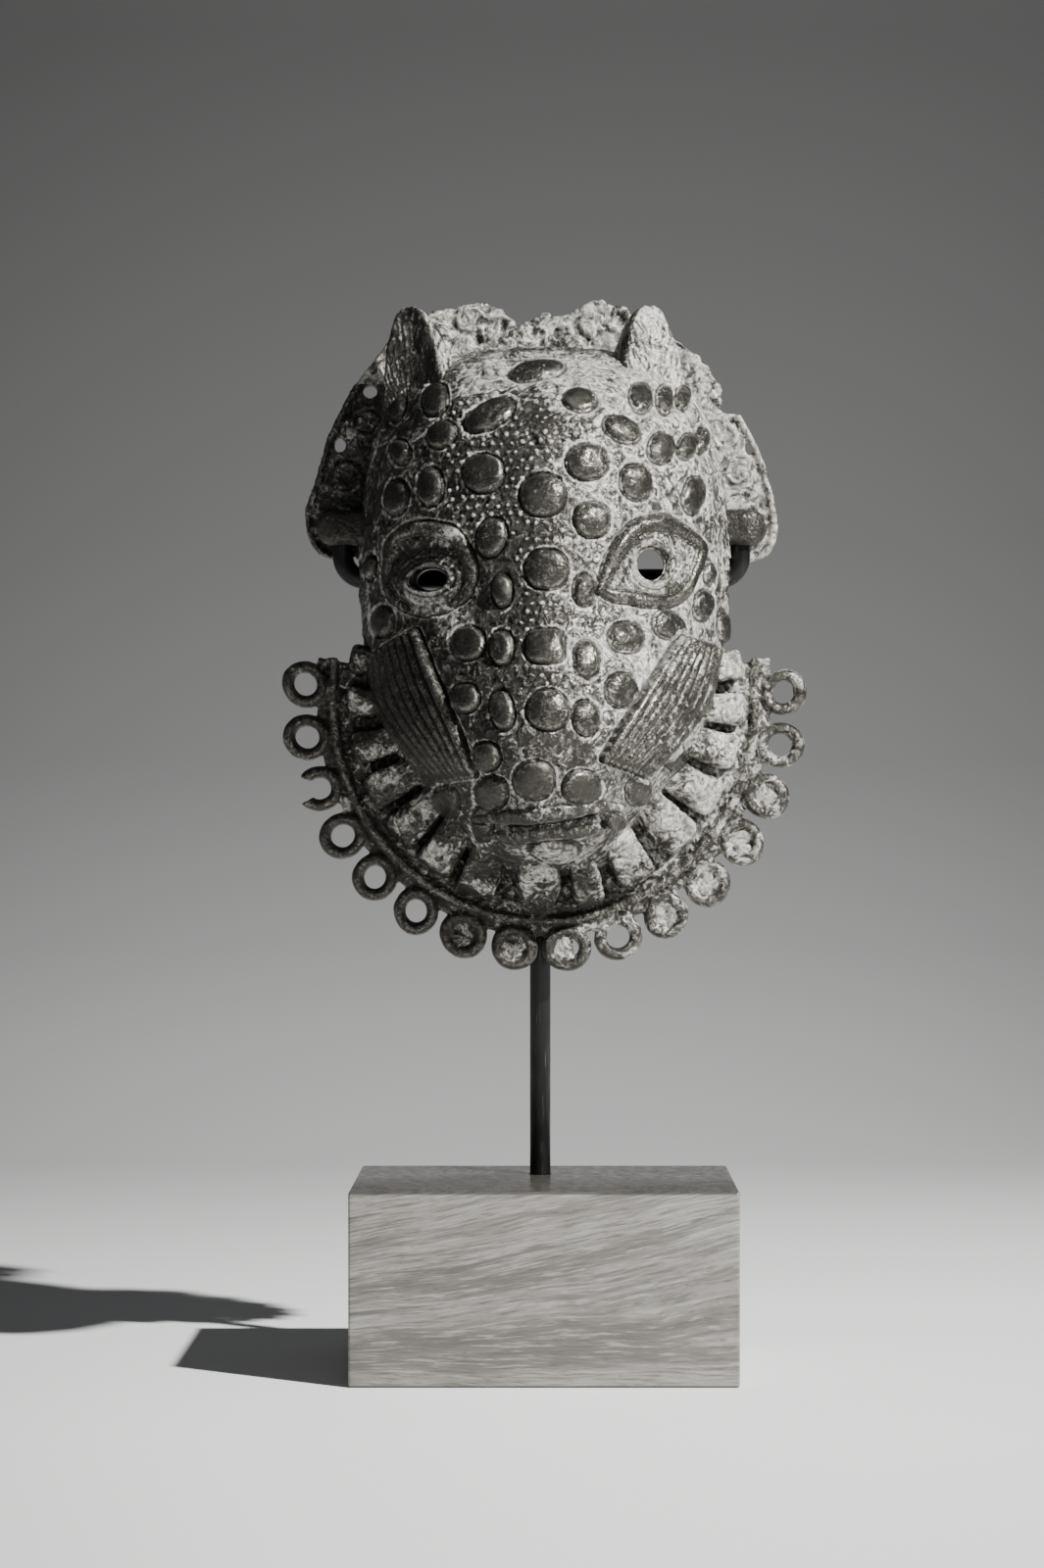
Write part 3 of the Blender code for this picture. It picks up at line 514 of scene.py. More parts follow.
# What stands on the face. A spot is x, z, width, height and lean in degrees, rising to the right.
face = {
    "spots": (
        (-1.9, 261.6, 14.3, 5.6, 10), (-14, 249, 13.6, 7.6, 30), (9.2, 253.1, 8.6, 6.6, -10),
        (20, 245.3, 10.1, 6.6, -25), (25.2, 254.8, 6.1, 9.2, -5), (31.6, 255.1, 4.4, 9, -5),
        (36.7, 257.2, 3.6, 8.8, -5), (30.3, 240.9, 6.6, 8.6, -20), (37.3, 242.2, 4.6, 7.7, -25),
        (11, 236.1, 10.7, 9.5, 0), (23.6, 231.3, 8.5, 9.5, 0), (39, 229.3, 5.9, 10, -12),
        (12.2, 221.1, 9.2, 9.2, 0), (-0.3, 227.3, 11.7, 11.2, 0), (-15.5, 233.2, 10.5, 10.2, 0),
        (-29.2, 230.5, 6.8, 10.1, 0), (-26.5, 244.3, 8.1, 7.1, 30), (-37.5, 240.8, 5.1, 7.2, 30),
        (-38.4, 228.7, 6.6, 9.2, 0), (-13.4, 216.6, 7.5, 10, -15), (0.7, 208.2, 11.2, 10.4, 0),
        (10.1, 203, 5.5, 7.9, 0), (-10.7, 203, 5, 8.4, 0), (-28.5, 254.6, 6.7, 9.7, 0),
        (41.4, 244.8, 3.1, 7.3, -10), (-38.8, 254.1, 4.7, 8.3, 0), (-19.4, 189.7, 8.9, 8.7, 0),
        (-10.7, 188.2, 5.9, 8.9, 0), (-20.1, 175.6, 7.4, 7.4, 0), (-10.6, 172.5, 5.9, 9.8, 10),
        (0.4, 188.6, 9.9, 8.9, 0), (1.1, 172.4, 10.8, 10.3, 0), (-14.8, 160.7, 7.4, 7.4, 0),
        (-13.4, 151.7, 8.4, 8.4, 0), (-2.5, 154.8, 10.3, 9.8, 0), (-15.8, 143.7, 5.5, 9.1, 0),
        (-25.7, 149.1, 7.7, 9.2, 0), (-42.1, 196.4, 6.1, 7.7, 0), (10.8, 185.4, 6.4, 9.4, 0),
        (20.9, 191.2, 9.4, 8, 0), (32, 194.8, 9.1, 7.5, -20), (41.6, 200.7, 5.1, 8.2, -15),
        (47.1, 195.7, 3.1, 8.8, 0), (10.5, 170.5, 6.6, 8.8, 10), (19.7, 177.6, 8.4, 8.9, 0),
        (9.5, 153.1, 9.4, 8.4, 0), (24.3, 152.3, 7.1, 7.6, 0), (33.8, 161.6, 6.1, 9.2, 30),
        (43.1, 174.7, 4.7, 7.8, 30), (-45.8, 211, 3.1, 6.2, 0), (43.3, 209.5, 2.6, 6.2, 0),
        (17.5, 145.5, 5.0, 4.6, -20)),
    "spotDomes": (1.75, 1.55, 1.35), "squareSpot": (0.4, 188.6),
    "wornSpots": ((1, 243.1, 7, 9, 0), (-12.9, 262.6, 7.7, 6.7, 0), (2.9, 180.3, 4.4, 3.4, 0)), "wornTall": 0.8,
    # raised bands round the left and right eye, with half widths and shares of the height along each
    "eyeBands": (
        ((-40.2, 212.6), (-39.9, 216.1), (-37.4, 218.4), (-34.2, 219.6), (-30.7, 219.8), (-26.6, 218.9),
         (-22.7, 217), (-20.5, 213.6), (-19, 209), (-19.4, 204.3), (-21.9, 201.2), (-25.8, 198.7),
         (-30.7, 198.2), (-35.7, 199.7), (-39.7, 203.3), (-41.2, 207.7), (-40.2, 212.6)),
        ((14.6, 203.3), (17.2, 210.2), (20.7, 215.8), (23.7, 218.9), (27.4, 220.4), (31.2, 220.9), (34.8, 219.7),
         (37.8, 218.2), (40.5, 216.0), (40.4, 212.8), (39.1, 208.9), (37.3, 205.3), (34.2, 202.2), (30.7, 200.8),
         (26.0, 200.9), (21.3, 201.8), (17.6, 202.0), (14.6, 203.3))),
    "bandHalves": ((1.3, 1.8, 2.1, 1.9, 1.2, 0.9, 1.2), (1.5, 2.5, 2.2, 1.35, 1.5, 1.7, 1.4)),
    "bandHeights": ((0.9, 1.0, 1.0, 0.65, 0.45, 0.6, 0.8), (1.0, 1.0, 1.0, 1.0, 0.9, 0.8, 1.0)),
    "bandTall": 1.7, "ballTall": 1.5,
    # whisker panels: first and last ridge, each by its top, middle and lower end
    "whiskers": (
        (((-45.0, 187.5), (-43.0, 175.0), (-27.0, 155.5)), ((-33.0, 193.0), (-26.5, 177.0), (-17.5, 156.5))),
        (((44.8, 189.5), (40.8, 174.5), (25.5, 157.0)), ((35.0, 191.5), (24.5, 174.5), (15.0, 160.5)))),
    "ridges": 8, "ridgeTall": 1.8,
    # upper and lower lip, the slit between them, the tongue and the disc at the corner of the mouth
    "lips": (((-17.0, 145.6), (-8.0, 145.6), (2.0, 146.4), (11.0, 148.0), (19.0, 148.0)),
             ((-14.0, 141.4), (-7.0, 140.6), (2.5, 141.3), (10.5, 142.4), (18.5, 143.6))),
    "lipHalves": (1.9, 1.3), "lipTall": 1.4,
    "slit": ((-10.5, 142.9), (-4.0, 142.9), (2.0, 143.6), (8.0, 144.5), (14.6, 146.2)), "slitDeep": 2.3,
    "tongue": (2.7, 137.3, 6.6, 3.0), "lipDisc": (17.8, 145.2, 2.2),
    "dotPitch": 2.5, "dotTall": 0.42, "dotsLost": 0.14,
}


def spotShare(x, z, spot):  # 0 at the middle of a spot, 1 at its edge
    midX, midZ, wide, tall, lean = spot
    c, s = math.cos(math.radians(lean)), math.sin(math.radians(lean))
    across = ((x - midX) * c + (z - midZ) * s) / (wide / 2)
    up = ((z - midZ) * c - (x - midX) * s) / (tall / 2)
    power = 3.2 if (midX, midZ) == face["squareSpot"] else 2.15
    return (np.abs(across) ** power + np.abs(up) ** power) ** (1 / power)


def insideBand(x, z, line):  # True within a closed line of (x, z) points
    inside = np.zeros(len(x), bool)
    for (ax, az), (bx, bz) in zip(line, line[1:]):
        crosses = (az > z) != (bz > z)
        side = x < (bx - ax) * (z - az) / (bz - az if bz != az else 1e-9) + ax
        inside ^= crosses & side
    return inside


def carveSpots(x, z, waver):  # height of the relief and signed distance from the outlines (inside below 0)
    rise = np.zeros(len(x))
    edge = np.full(len(x), 4.0)
    for number, spot in enumerate(face["spots"]):
        near = (np.abs(x - spot[0]) < 12) & (np.abs(z - spot[1]) < 12)
        q = spotShare(x[near] + waver[near] * 0.6, z[near] + waver[near] * 0.5, spot)
        dome = face["spotDomes"][number % 3] * np.clip(1 - q ** 2.8, 0, 1) ** 0.6
        rise[near] = np.maximum(rise[near], dome)
        edge[near] = np.minimum(edge[near], (q - 1) * min(spot[2], spot[3]) / 2)
    for spot in face["wornSpots"]:
        near = (np.abs(x - spot[0]) < 10) & (np.abs(z - spot[1]) < 10)
        q = spotShare(x[near], z[near], spot)
        rise[near] = np.maximum(rise[near], face["wornTall"] * (1 - ease(0.6, 1.0, q)))
    return rise, edge


def carveEyes(x, z, waver, rise, edge):
    ridges = np.zeros(len(x))
    knots = np.linspace(0, 1, 7)
    for number, (eyeX, eyeZ, halfWide, halfTall) in enumerate(head["eyes"]):
        left = eyeX < 0
        band, halves, heights = (face[name][number] for name in ("eyeBands", "bandHalves", "bandHeights"))
        line = smoothLine(band, 60)
        away, along = lineDistance(x, z, line)
        inside = insideBand(x, z, [tuple(p) for p in line])
        half = np.interp(along, knots, halves) + waver
        profile = np.clip(1 - (away / half) ** 2.8, 0, 1) ** 0.7 * np.interp(along, knots, heights)
        # the band is worn low under the left eye and at the right eye's lower inner side
        worn = hill(x, z, -31, 199.5, 13, 5.5) if left else 0.5 * hill(x, z, 18, 202, 6, 4)
        profile = profile * (1 - 0.75 * worn)
        # the eyeball stands in the band as a low dome with fine rings and a lip round the hole
        out = np.hypot((x - eyeX) / halfWide, (z - eyeZ) / halfTall)
        ball = face["ballTall"] * np.clip(1 - (out / 3.0) ** 2, 0, 1) ** 0.8
        lines = 0.16 * np.cos((out - 1.0) * 14) * ease(1.3, 1.6, out) * (1 - ease(2.4, 3.0, out))
        lift = np.where(inside, (ball + lines) * ease(1.2, 2.4, away), 0) + profile * face["bandTall"]
        lift += 0.6 * np.exp(-((out - 1.42) / 0.2) ** 2) * inside
        lift = np.where(out < 1.22, 0.0, lift)
        reach = (away < half * 1.1) | inside
        rise = np.where(reach, lift, rise)
        onBand = np.maximum(away - half, -0.12 if left else -0.22)
        edge = np.where(reach, np.where(inside & (away > half), 2.0, onBand), np.minimum(edge, away - half))
        # painted shade: inside the left eye's hole the dark line round the outline is spread, so the hole is
        # drawn near black
        edge = np.where((out < 1.32) & left, 0.18, edge)
        ridges = np.where(away < half * 1.1, np.maximum(ridges, (0.5 if left else 0.9) * profile), ridges)
    return rise, edge, ridges


def carveWhiskers(x, z, rise, edge, ridges):
    last = face["ridges"] - 1
    for firstRidge, lastRidge in face["whiskers"]:
        panel = np.zeros(len(x))
        outer = np.full(len(x), 9.0)
        lines = []
        for number in range(face["ridges"]):
            share = number / last
            knots = [tuple(a + (b - a) * share for a, b in zip(p, q)) for p, q in zip(firstRidge, lastRidge)]
            lines.append(smoothLine(knots, 24))
        gap = np.hypot(*(lines[0] - lines[-1]).T) / last
        for line in lines:
            away, along = lineDistance(x, z, line)
            half = np.interp(along, np.linspace(0, 1, 24), gap) * 0.5
            profile = np.clip(1 - (away / half) ** 2.6, 0, 1) ** 0.55
            # the ridges run together at the panel's lower end
            profile = profile + (0.62 - profile) * 0.8 * ease(0.90, 0.98, along) * (away < half * 1.4)
            panel = np.maximum(panel, profile)
            outer = np.minimum(outer, away - half * 1.1)
        within = 1 - ease(-0.2, 0.25, outer)
        rise = rise * (1 - within) + within * (0.35 + face["ridgeTall"] * panel)
        ridges = np.maximum(ridges, within)
        grown = np.where(within > 0.5, 0.1 - 0.3 * panel, 9.0)
        edge = np.where(outer < 1.6, np.where(outer < 0, grown, outer), edge)
    return rise, edge, ridges


def carveMouth(x, z, rise, edge, ridges):
    for line, wide in zip(face["lips"], face["lipHalves"]):
        away, along = lineDistance(x, z, smoothLine(line, 30))
        half = wide * (0.55 + 0.45 * np.sin(np.pi * along))
        profile = np.clip(1 - (away / half) ** 2, 0, 1) ** 0.6
        rise = np.where(away < half, np.maximum(rise * 0.4, profile * face["lipTall"]), rise)
        ridges = np.maximum(ridges, profile * 0.3)
        edge = np.where(away < half, np.maximum(edge, 1.5), edge)
    away, along = lineDistance(x, z, smoothLine(face["slit"], 30))
    slit = np.exp(-(away / 0.75) ** 2) * ease(0.0, 0.08, along) * (1 - ease(0.92, 1.0, along))
    rise -= slit * face["slitDeep"]
    edge = np.where(slit > 0.25, 0.18, edge)
    midX, midZ, halfWide, halfTall = face["tongue"]
    away = np.hypot((x - midX) / halfWide, (z - midZ) / halfTall)
    rise = np.where(away < 1, np.maximum(rise, 1.8 * np.clip(1 - away ** 2.4, 0, 1) ** 0.5), rise)
    edge = np.where(away < 1.3, np.abs(away - 1) * halfTall + 0.02, edge)
    midX, midZ, radius = face["lipDisc"]
    away = np.hypot(x - midX, z - midZ) / radius
    rise = np.where(away < 1.1, 1.4 + 0.9 * np.clip(1 - away ** 3, 0, 1) ** 0.5, rise)
    edge = np.where(away < 1.2, (away - 1) * radius, edge)
    return rise, edge, ridges


def punchDots(x, z, edge):  # fine dots on the dark band of the nose and forehead
    dots = np.zeros(len(x))
    random = np.random.default_rng(5)
    pitch = face["dotPitch"]
    for row in range(40):
        for column in range(20):
            dotX = -27 + (column + 0.5 * (row % 2)) * pitch + random.uniform(-0.3, 0.3)
            dotZ = 165 + row * pitch * 0.92 + random.uniform(-0.3, 0.3)
            size = random.uniform(0.36, 0.56)
            lowest = 214 if abs(dotX - 2) > 9 else 168
            onBand = lowest < dotZ < 254 and -25 < dotX < 12 + (dotZ - 230) * 0.05
            if not onBand or random.random() < face["dotsLost"]:
                continue
            near = (np.abs(x - dotX) < 1.5) & (np.abs(z - dotZ) < 1.5)
            away = np.hypot(x[near] - dotX, z[near] - dotZ)
            dots[near] = np.maximum(dots[near], 1 - ease(size * 0.6, size * 1.25, away))
    return dots * (edge > 0.5)


def faceRelief(places):  # height of the relief, distance from its outlines, ridges and dots
    x, z = places[:, 0], places[:, 2]
    # no spot is a clean oval: its edge wavers a little
    rise, edge = carveSpots(x, z, softNoise(places, 2.6, 3) * 0.22)
    rise, edge, ridges = carveEyes(x, z, softNoise(places, 4.0, 6) * 0.22, rise, edge)
    rise, edge, ridges = carveWhiskers(x, z, rise, edge, ridges)
    rise, edge, ridges = carveMouth(x, z, rise, edge, ridges)
    # a fine groove runs round each outline
    rise -= 0.42 * np.exp(-((edge - 0.2) / 0.38) ** 2)
    dots = punchDots(x, z, edge)
    print("relief of the face ready")
    return rise + dots * face["dotTall"], edge, ridges, dots


def roughen(places, smoothness):  # cast and worn skin: lumps, fine grain and scattered pits, in mm
    lumps = softNoise(places, 5.0, 21) * 0.17 + softNoise(places, 2.3, 22) * 0.11
    # curling ridges, as where two swirls of wax meet
    bent = places + np.column_stack([softNoise(places, 3.1, seed) for seed in (26, 27, 28)]) * 1.6
    swirl = 0.26 * (1 - ease(0.0, 0.34, np.abs(softNoise(bent, 2.8, 24)))) - 0.08
    grain = softNoise(places, 1.3, 23) * 0.06
    pits = -0.24 * ease(0.76, 0.95, softNoise(places, 1.8, 25))
    return lumps + (grain + swirl + pits) * (1 - smoothness)


def addPatina(piece, values):  # writes where recesses and worn edges are, for the brass finish
    places = readPoints(piece)
    normals = readNormals(piece)
    rounds = 7
    near = ((evened(piece, rounds) - places) * normals).sum(axis=1)
    wide = ((evened(piece, rounds * 7) - places) * normals).sum(axis=1)
    writeAttribute(piece, "nearHollow", np.clip(near * 7, -1, 1))
    writeAttribute(piece, "wideHollow", np.clip(wide * 2.0, -1, 1))
    for name in ("edge", "ridge", "dot", "tone", "fan"):
        writeAttribute(piece, name, values.get(name, np.full(len(places), 4.0 if name == "edge" else 0.0)))


def markPlain(piece, hidden):  # marks the places that thinning takes from first
    group = piece.vertex_groups.new(name="plain")
    group.add([int(number) for number in np.flatnonzero(hidden)], 1.0, "REPLACE")


def thin(piece, triangles):
    selectOnly(piece)
    bpy.ops.object.duplicate()
    dense = bpy.context.object
    # first from the plain places alone, then from all over
    for group in ("plain", ""):
        count = sum(len(face.vertices) - 2 for face in piece.data.polygons)
        if count > triangles:
            applyModifier(piece, "DECIMATE", ratio=triangles / count, use_collapse_triangulate=True,
                          vertex_group=group, vertex_group_factor=0.001 if group else 1.0)
    # thinning can throw single corners off the skin, so all are laid back on it
    applyModifier(piece, "SHRINKWRAP", target=dense, wrap_method="NEAREST_SURFACEPOINT")
    bpy.data.objects.remove(dense)
    print(piece.name, "thinned:", len(piece.data.polygons), "faces")


def closeUp(piece, name):
    selectOnly(piece)
    bpy.ops.object.shade_smooth_by_angle(angle=math.radians(60))
    piece.name = name
    piece.data.name = name


def shape(piece, voxel):  # melts joined solids into one skin
    applyModifier(piece, "REMESH", mode="VOXEL", voxel_size=voxel * mm, adaptivity=0.0)
    applyModifier(piece, "SMOOTH", factor=0.5, iterations=2)
    print(piece.name, "shaped:", len(piece.data.polygons), "faces")


def headPlace(places, normals):  # how far out a place is, 1 on the skin, and how squarely it faces outwards
    x, y, z = places.T
    half, deep = headReach(z)
    side = np.clip(np.abs(x) / half, 0, 1)
    swell = faceSwell(x, z) * np.sqrt(1 - side * side)
    rho = np.sqrt((x / half) ** 2 + ((head["back"] - y) / (deep + swell)) ** 2)
    highHalf, highDeep = headReach(z + 0.5)
    lowHalf, lowDeep = headReach(z - 0.5)
    slope = (x / highHalf) ** 2 + ((head["back"] - y) / highDeep) ** 2
    slope -= (x / lowHalf) ** 2 + ((head["back"] - y) / lowDeep) ** 2
    outward = np.column_stack((2 * x / half ** 2, 2 * (y - head["back"]) / deep ** 2, slope))
    outward /= np.linalg.norm(outward, axis=1)[:, None] + 1e-9
    return rho, (outward * normals).sum(axis=1)


def buildHead():
    made = buildShell()
    made.name = "maskHead"
    shape(made, head["voxel"])
    places = readPoints(made)
    normals = readNormals(made)
    x, y, z = places.T
    rho, facing = headPlace(places, normals)
    skin = ease(0.955, 0.975, rho) * ease(0.25, 0.7, facing) * ease(-18.0, -14.0, -y)
    rise, edge, ridges, dots = faceRelief(places)
    worked = np.clip((1 - ease(-0.6, 0.2, edge)) * 0.75 + ridges, 0, 1) * skin
    rough = roughen(places, np.maximum(worked * 0.9, dots * 0.5))
    inner = (rho < 0.97) & (facing < 0)
    nearHole = np.zeros(len(x))
    byHole = np.zeros(len(x), bool)
    lip = np.zeros(len(x))
    for eyeX, eyeZ, halfWide, halfTall in head["eyes"]:
        out = np.hypot((x - eyeX) / halfWide, (z - eyeZ) / halfTall)
        nearHole = np.maximum(nearHole, 1 - ease(1.05, 1.3, out))
        byHole |= out < 1.7
        # painted light: the lip round the hole is lightest at its lower left, where the lamp shines into the hole
        lit = ease(6, -4, x + z - eyeX - eyeZ)
        lip = np.maximum(lip, np.exp(-((out - 1.5) / 0.14) ** 2) * lit)
    move = rise * skin * (1 - nearHole) + rough * np.where(inner, 0.7, 1.0) * (1 - nearHole)
    writePoints(made, places + normals * move[:, None])
    # the crust is thick on the crown and thin down the nose; the lit cheek is paler and the shaded other side
    # darker, partly crust and partly painted light and shade
    band = np.exp(-((x + 8 - (z - 200) * 0.02) / 13) ** 2) * ease(150, 185, z) * (1 - ease(246, 262, z))
    tone = 0.36 + 0.17 * ease(0, 22, x) - 0.30 * band + 0.26 * ease(244, 262, z) * ease(-25, -10, x)
    # painted light: the lip round each eye hole is made paler where the lamp shines into it
    tone = tone + hills(x, z, head["tonesAndPaintedLight"]) + 0.4 * lip * skin
    tone = np.where(inner, 0.2, tone)
    patina = {"edge": np.where(skin > 0.4, edge, 4.0), "ridge": ridges * skin, "dot": dots * skin, "tone": tone}
    addPatina(made, patina)
    markPlain(made, (skin < 0.5) & ~byHole)
    thin(made, head["triangles"])
    closeUp(made, "maskHead")
    return made


def buildTop():
    pieces = buildEars() + buildCrest() + buildLugs()
    cutHollow([piece for piece in pieces if piece.name.split(".")[0] in ("ear", "lug")])
    made = joinAll(pieces, "maskCrest")
    shape(made, head["voxel"])
    places = readPoints(made)
    normals = readNormals(made)
    x, y, z = places.T
    # ears: engraved lines that fan out over the cupped face
    earPart = (z > 250) & (y < 12.5) & (np.abs(x) > 12)
    fan = np.zeros(len(x))
    for root, tip in ears["places"]:
        near = earPart & (np.abs(x - tip[0]) < 22)
        turn = np.arctan2(x - root[0] * 0.95, z - ears["fanFoot"])
        fan = np.where(near, turn * ears["fanLines"] + softNoise(places, 4.0, 31) * 2.6, fan)
    plates = (y > 13) & (normals[:, 1] < 0.5)
    lugPart = (np.abs(z - 223) < 6.5) & (y < 14) & ~earPart
    rough = roughen(places, np.where(earPart | lugPart, 0.75, 0.0))
    knots = softNoise(places, 3.0, 32) * 0.45 + softNoise(places, 1.6, 33) * 0.12
    top = ease(262, 272, z)
    move = rough * np.where(plates, 0.7, 1.0) + plates * knots * (0.3 + 0.7 * top)
    writePoints(made, places + normals * move[:, None])
    # painted shade: the left side plate, in the head's shadow, is dark, with a paler strip near its rim
    tone = np.where(x < -40, 0.16, 0.80) * np.ones(len(x))
    tone = np.where(z > 262, 0.72, tone)
    tone = np.where(x < -40, tone + 0.5 * hill(x, z, -62, 230, 2.2, 6), tone)
    # painted light and shade: ear faces turned towards the lamp are paler, and the shaded left ear is darker
    # overall
    facing = ease(0.0, 0.6, normals[:, 0])
    tone = np.where(earPart, np.where(x < 0, 0.16 + 0.5 * facing, 0.30 + 0.4 * facing), tone)
    tone = np.where(lugPart, 0.06, tone)
    tone = np.where(normals[:, 1] > 0.5, 0.25, tone)
    fan = np.where(normals[:, 1] < -0.1, fan, 0.0)
    addPatina(made, {"tone": tone, "fan": fan, "ridge": lugPart * 0.7})
    markPlain(made, normals[:, 1] > 0.5)
    thin(made, head["triangles"])
    closeUp(made, "maskCrest")
    return made


# Collar: a flat band with a cord rib, pleats under the jaw and a row of hanging loops
collar = {
    "middle": 176.0, "half": 56.0, "drop": 58.0, "top": 188.0, "skirt": 4.0, "front": 2.0, "back": 5.0,
    "rib": 1.35, "ribLift": 0.2, "voxel": 0.42, "triangles": 190000,
}

pleats = {
    # angle round the collar in degrees, half width, outer end's reach from the rib, height
    "places": (
        (167, 3.7, -3.4, 8.5), (180, 4.3, -3.8, 9.5), (194, 4.4, -3.8, 9.5), (208, 4.9, -3.8, 10.0),
        (222, 5.2, -3.8, 10.0), (236, 5.3, -3.8, 10.5), (250, 5.4, -3.2, 11.0), (268, 6.6, -1.6, 12.0),
        (283, 4.2, -2.6, 11.5), (298, 5.4, -3.8, 11.0), (315, 5.6, -3.8, 10.5), (330, 5.2, -3.6, 10.0),
        (345, 4.8, -3.2, 9.5), (358, 4.4, -2.8, 9.5), (371, 4.0, -2.8, 9.0)),
    "narrowed": 268, "square": 5, "sides": 36,
    # where along a pleat its rings stand, closer together at its rounded outer end
    "rings": (0, 0.1, 0.2, 0.3, 0.4, 0.5, 0.6, 0.7, 0.78, 0.85, 0.9, 0.94, 0.97, 1.0),
    # planes that a pleat is worn flat by: lean across, lean along, share of its reach that stays
    "worn": ((0.0, 0.15, 0.80), (0.55, 0.3, 0.84), (-0.6, 0.25, 0.84), (0.15, 0.95, 0.86)),
}

loops = {
    "count": 16, "reach": 7.5, "pitch": 14.0, "shift": -1.1, "major": 4.62, "minor": 1.66, "middle": 3.1,
    "deep": 1.45,
    # loops counted from the upper left: how far some are filled by casting flash, and the one that is broken
    "filled": {6: 1.0, 7: 1.0, 8: 0.7, 10: 1.0, 11: 1.0, 12: 0.75, 13: 1.0}, "flash": 4.2, "broken": 2,
    "breakLine": ((-9.0, -5.0), (-3.2, -3.4), (-1.0, -1.6), (-1.2, 1.6), (-4.2, 2.6), (-9.0, 5.6)),
}


def collarPoint(turn, reach=0.0):
    x = (collar["half"] + reach) * math.cos(turn)
    return x, collar["middle"] + (collar["drop"] + reach) * math.sin(turn)


def collarLine(reach, count=120):
    line = [(-collar["half"] - reach, collar["top"] - step) for step in np.linspace(0, 11, 8)]
    line += [collarPoint(math.pi * (1 + step / count), reach) for step in range(count + 1)]
    line += [(collar["half"] + reach, collar["top"] - step) for step in np.linspace(11, 0, 8)]
    return line


def headRadius(turn, depth):  # how far the head's outside reaches from the collar's middle, at a depth
    away = np.arange(20.0, 62.0, 0.1)
    x, z = away * math.cos(turn), collar["middle"] + away * math.sin(turn)
    half, deep = headReach(z)
    inside = (x / half) ** 2 + ((head["back"] - depth) / deep) ** 2 < 1
    inside &= z > head["foot"]
    return away[inside].max() if inside.any() else 20.0


def buildFlange():
    outer = collarLine(collar["skirt"])
    rings = []
    for x, z in outer:
        turn = math.atan2(z - collar["middle"], x)
        away = headRadius(turn, 3.5) - 1.6
        innerX, innerZ = away * math.cos(turn), collar["middle"] + away * math.sin(turn)
        front, back = collar["front"], collar["back"]
        rings.append([(x, front, z), (innerX, front, innerZ), (innerX, back, innerZ), (x, back, z)])
    return loft("flange", rings)


def buildPleats():
    made = []
    random = np.random.default_rng(12)
    for degrees, half, end, height in pleats["places"]:
        turn = math.radians(degrees)
        along = np.array((math.cos(turn), 0, math.sin(turn)))
        across = np.array((-along[2], 0, along[0]))
        outerX, outerZ = collarPoint(turn, end)
        outerAway = math.hypot(outerX, outerZ - collar["middle"])
        innerDepth = 8.0 + 15.0 * max(0.0, -math.sin(turn)) ** 4
        innerAway = headRadius(turn, -innerDepth) - 1.5
        base = collar["back"] - 1.5
        middle = along * (innerAway + outerAway) / 2 + (0, collar["front"] - height * 0.5, collar["middle"])
        planes = []
        for side, lean, away in pleats["worn"]:
            tilt = np.array((side + random.uniform(-0.22, 0.22), -1.0, lean + random.uniform(-0.2, 0.2)))
            normal = across * tilt[0] + np.array((0, tilt[1], 0)) + along * tilt[2]
            planes.append((normal / np.linalg.norm(normal), away))
        rings = []
        for share in pleats["rings"]:
            away = innerAway + (outerAway - innerAway) * share
            tall = innerDepth + 3.0 + (height * 0.62 - innerDepth - 3.0) * share ** 0.9
            close = math.sqrt(max(0.0, 1 - max(0.0, (share - 0.80) / 0.205) ** 2.6))
            wide = half * (0.80 + 0.2 * share) * (0.35 + 0.65 * close)
            if degrees == pleats["narrowed"]:
                wide *= 1 - 0.5 * max(0.0, share - 0.5) / 0.5
            top = collar["front"] - tall * (0.25 + 0.75 * close)
            ring = []
            for c, s in circle(pleats["sides"]):
                scale = squared(c, s, pleats["square"])
                lift = (base + top) / 2 + (base - top) / 2 * s * scale
                ring.append(along * away + across * wide * c * scale + (0, lift, collar["middle"]))
            rings.append(ring)
        corners = np.array(rings)
        for normal, away in planes:
            reach = (corners - middle) @ normal
            limit = reach.max() * away
            over = np.clip(reach - limit, 0, None)
            corners = corners - over[..., None] * normal
        made.append(loft("pleat", list(corners)))
    return made


def loopPlaces():
    turns = np.radians(-90 + (np.arange(721) - 360) * 0.3)
    fine = np.array([collarPoint(turn, loops["reach"]) for turn in turns])
    runs = np.concatenate(([0], np.cumsum(np.hypot(*np.diff(fine, axis=0).T))))
    steps = np.arange(loops["count"]) - (loops["count"] - 1) / 2
    wanted = runs[360] + loops["shift"] + steps * loops["pitch"]
    return [tuple(fine[np.abs(runs - want).argmin()]) for want in wanted]


def buildLoops():
    made = []
    for number, (x, z) in enumerate(loopPlaces()):
        bpy.ops.object.select_all(action="DESELECT")
        bpy.ops.mesh.primitive_torus_add(major_segments=48, minor_segments=20, major_radius=loops["major"] * mm,
                                         minor_radius=loops["minor"] * mm, location=(0, 0, 0))
        ring = bpy.context.object
        across, up, deep = readPoints(ring).T
        # no loop is quite round, and no two are alike
        wobble = 1 + 0.03 * math.sin(number * 2.4)
        sway = 1 + 0.035 * np.sin(2 * np.arctan2(up, across) + number)
        places = (across * wobble * sway + x, deep * loops["deep"] + loops["middle"], -up * sway + z)
        writePoints(ring, np.column_stack(places))
        if number == loops["broken"]:
            cutAway(ring, plate("lostSide", [(x + a, z + b) for a, b in loops["breakLine"]], -6, 12))
        made.append(ring)
        if number in loops["filled"]:
            share, reach = loops["filled"][number], loops["flash"]
            made.append(plate("flash", oval(x - 4 * (1 - share), z, reach * share, reach, 24), 1.7, 4.7))
    return made


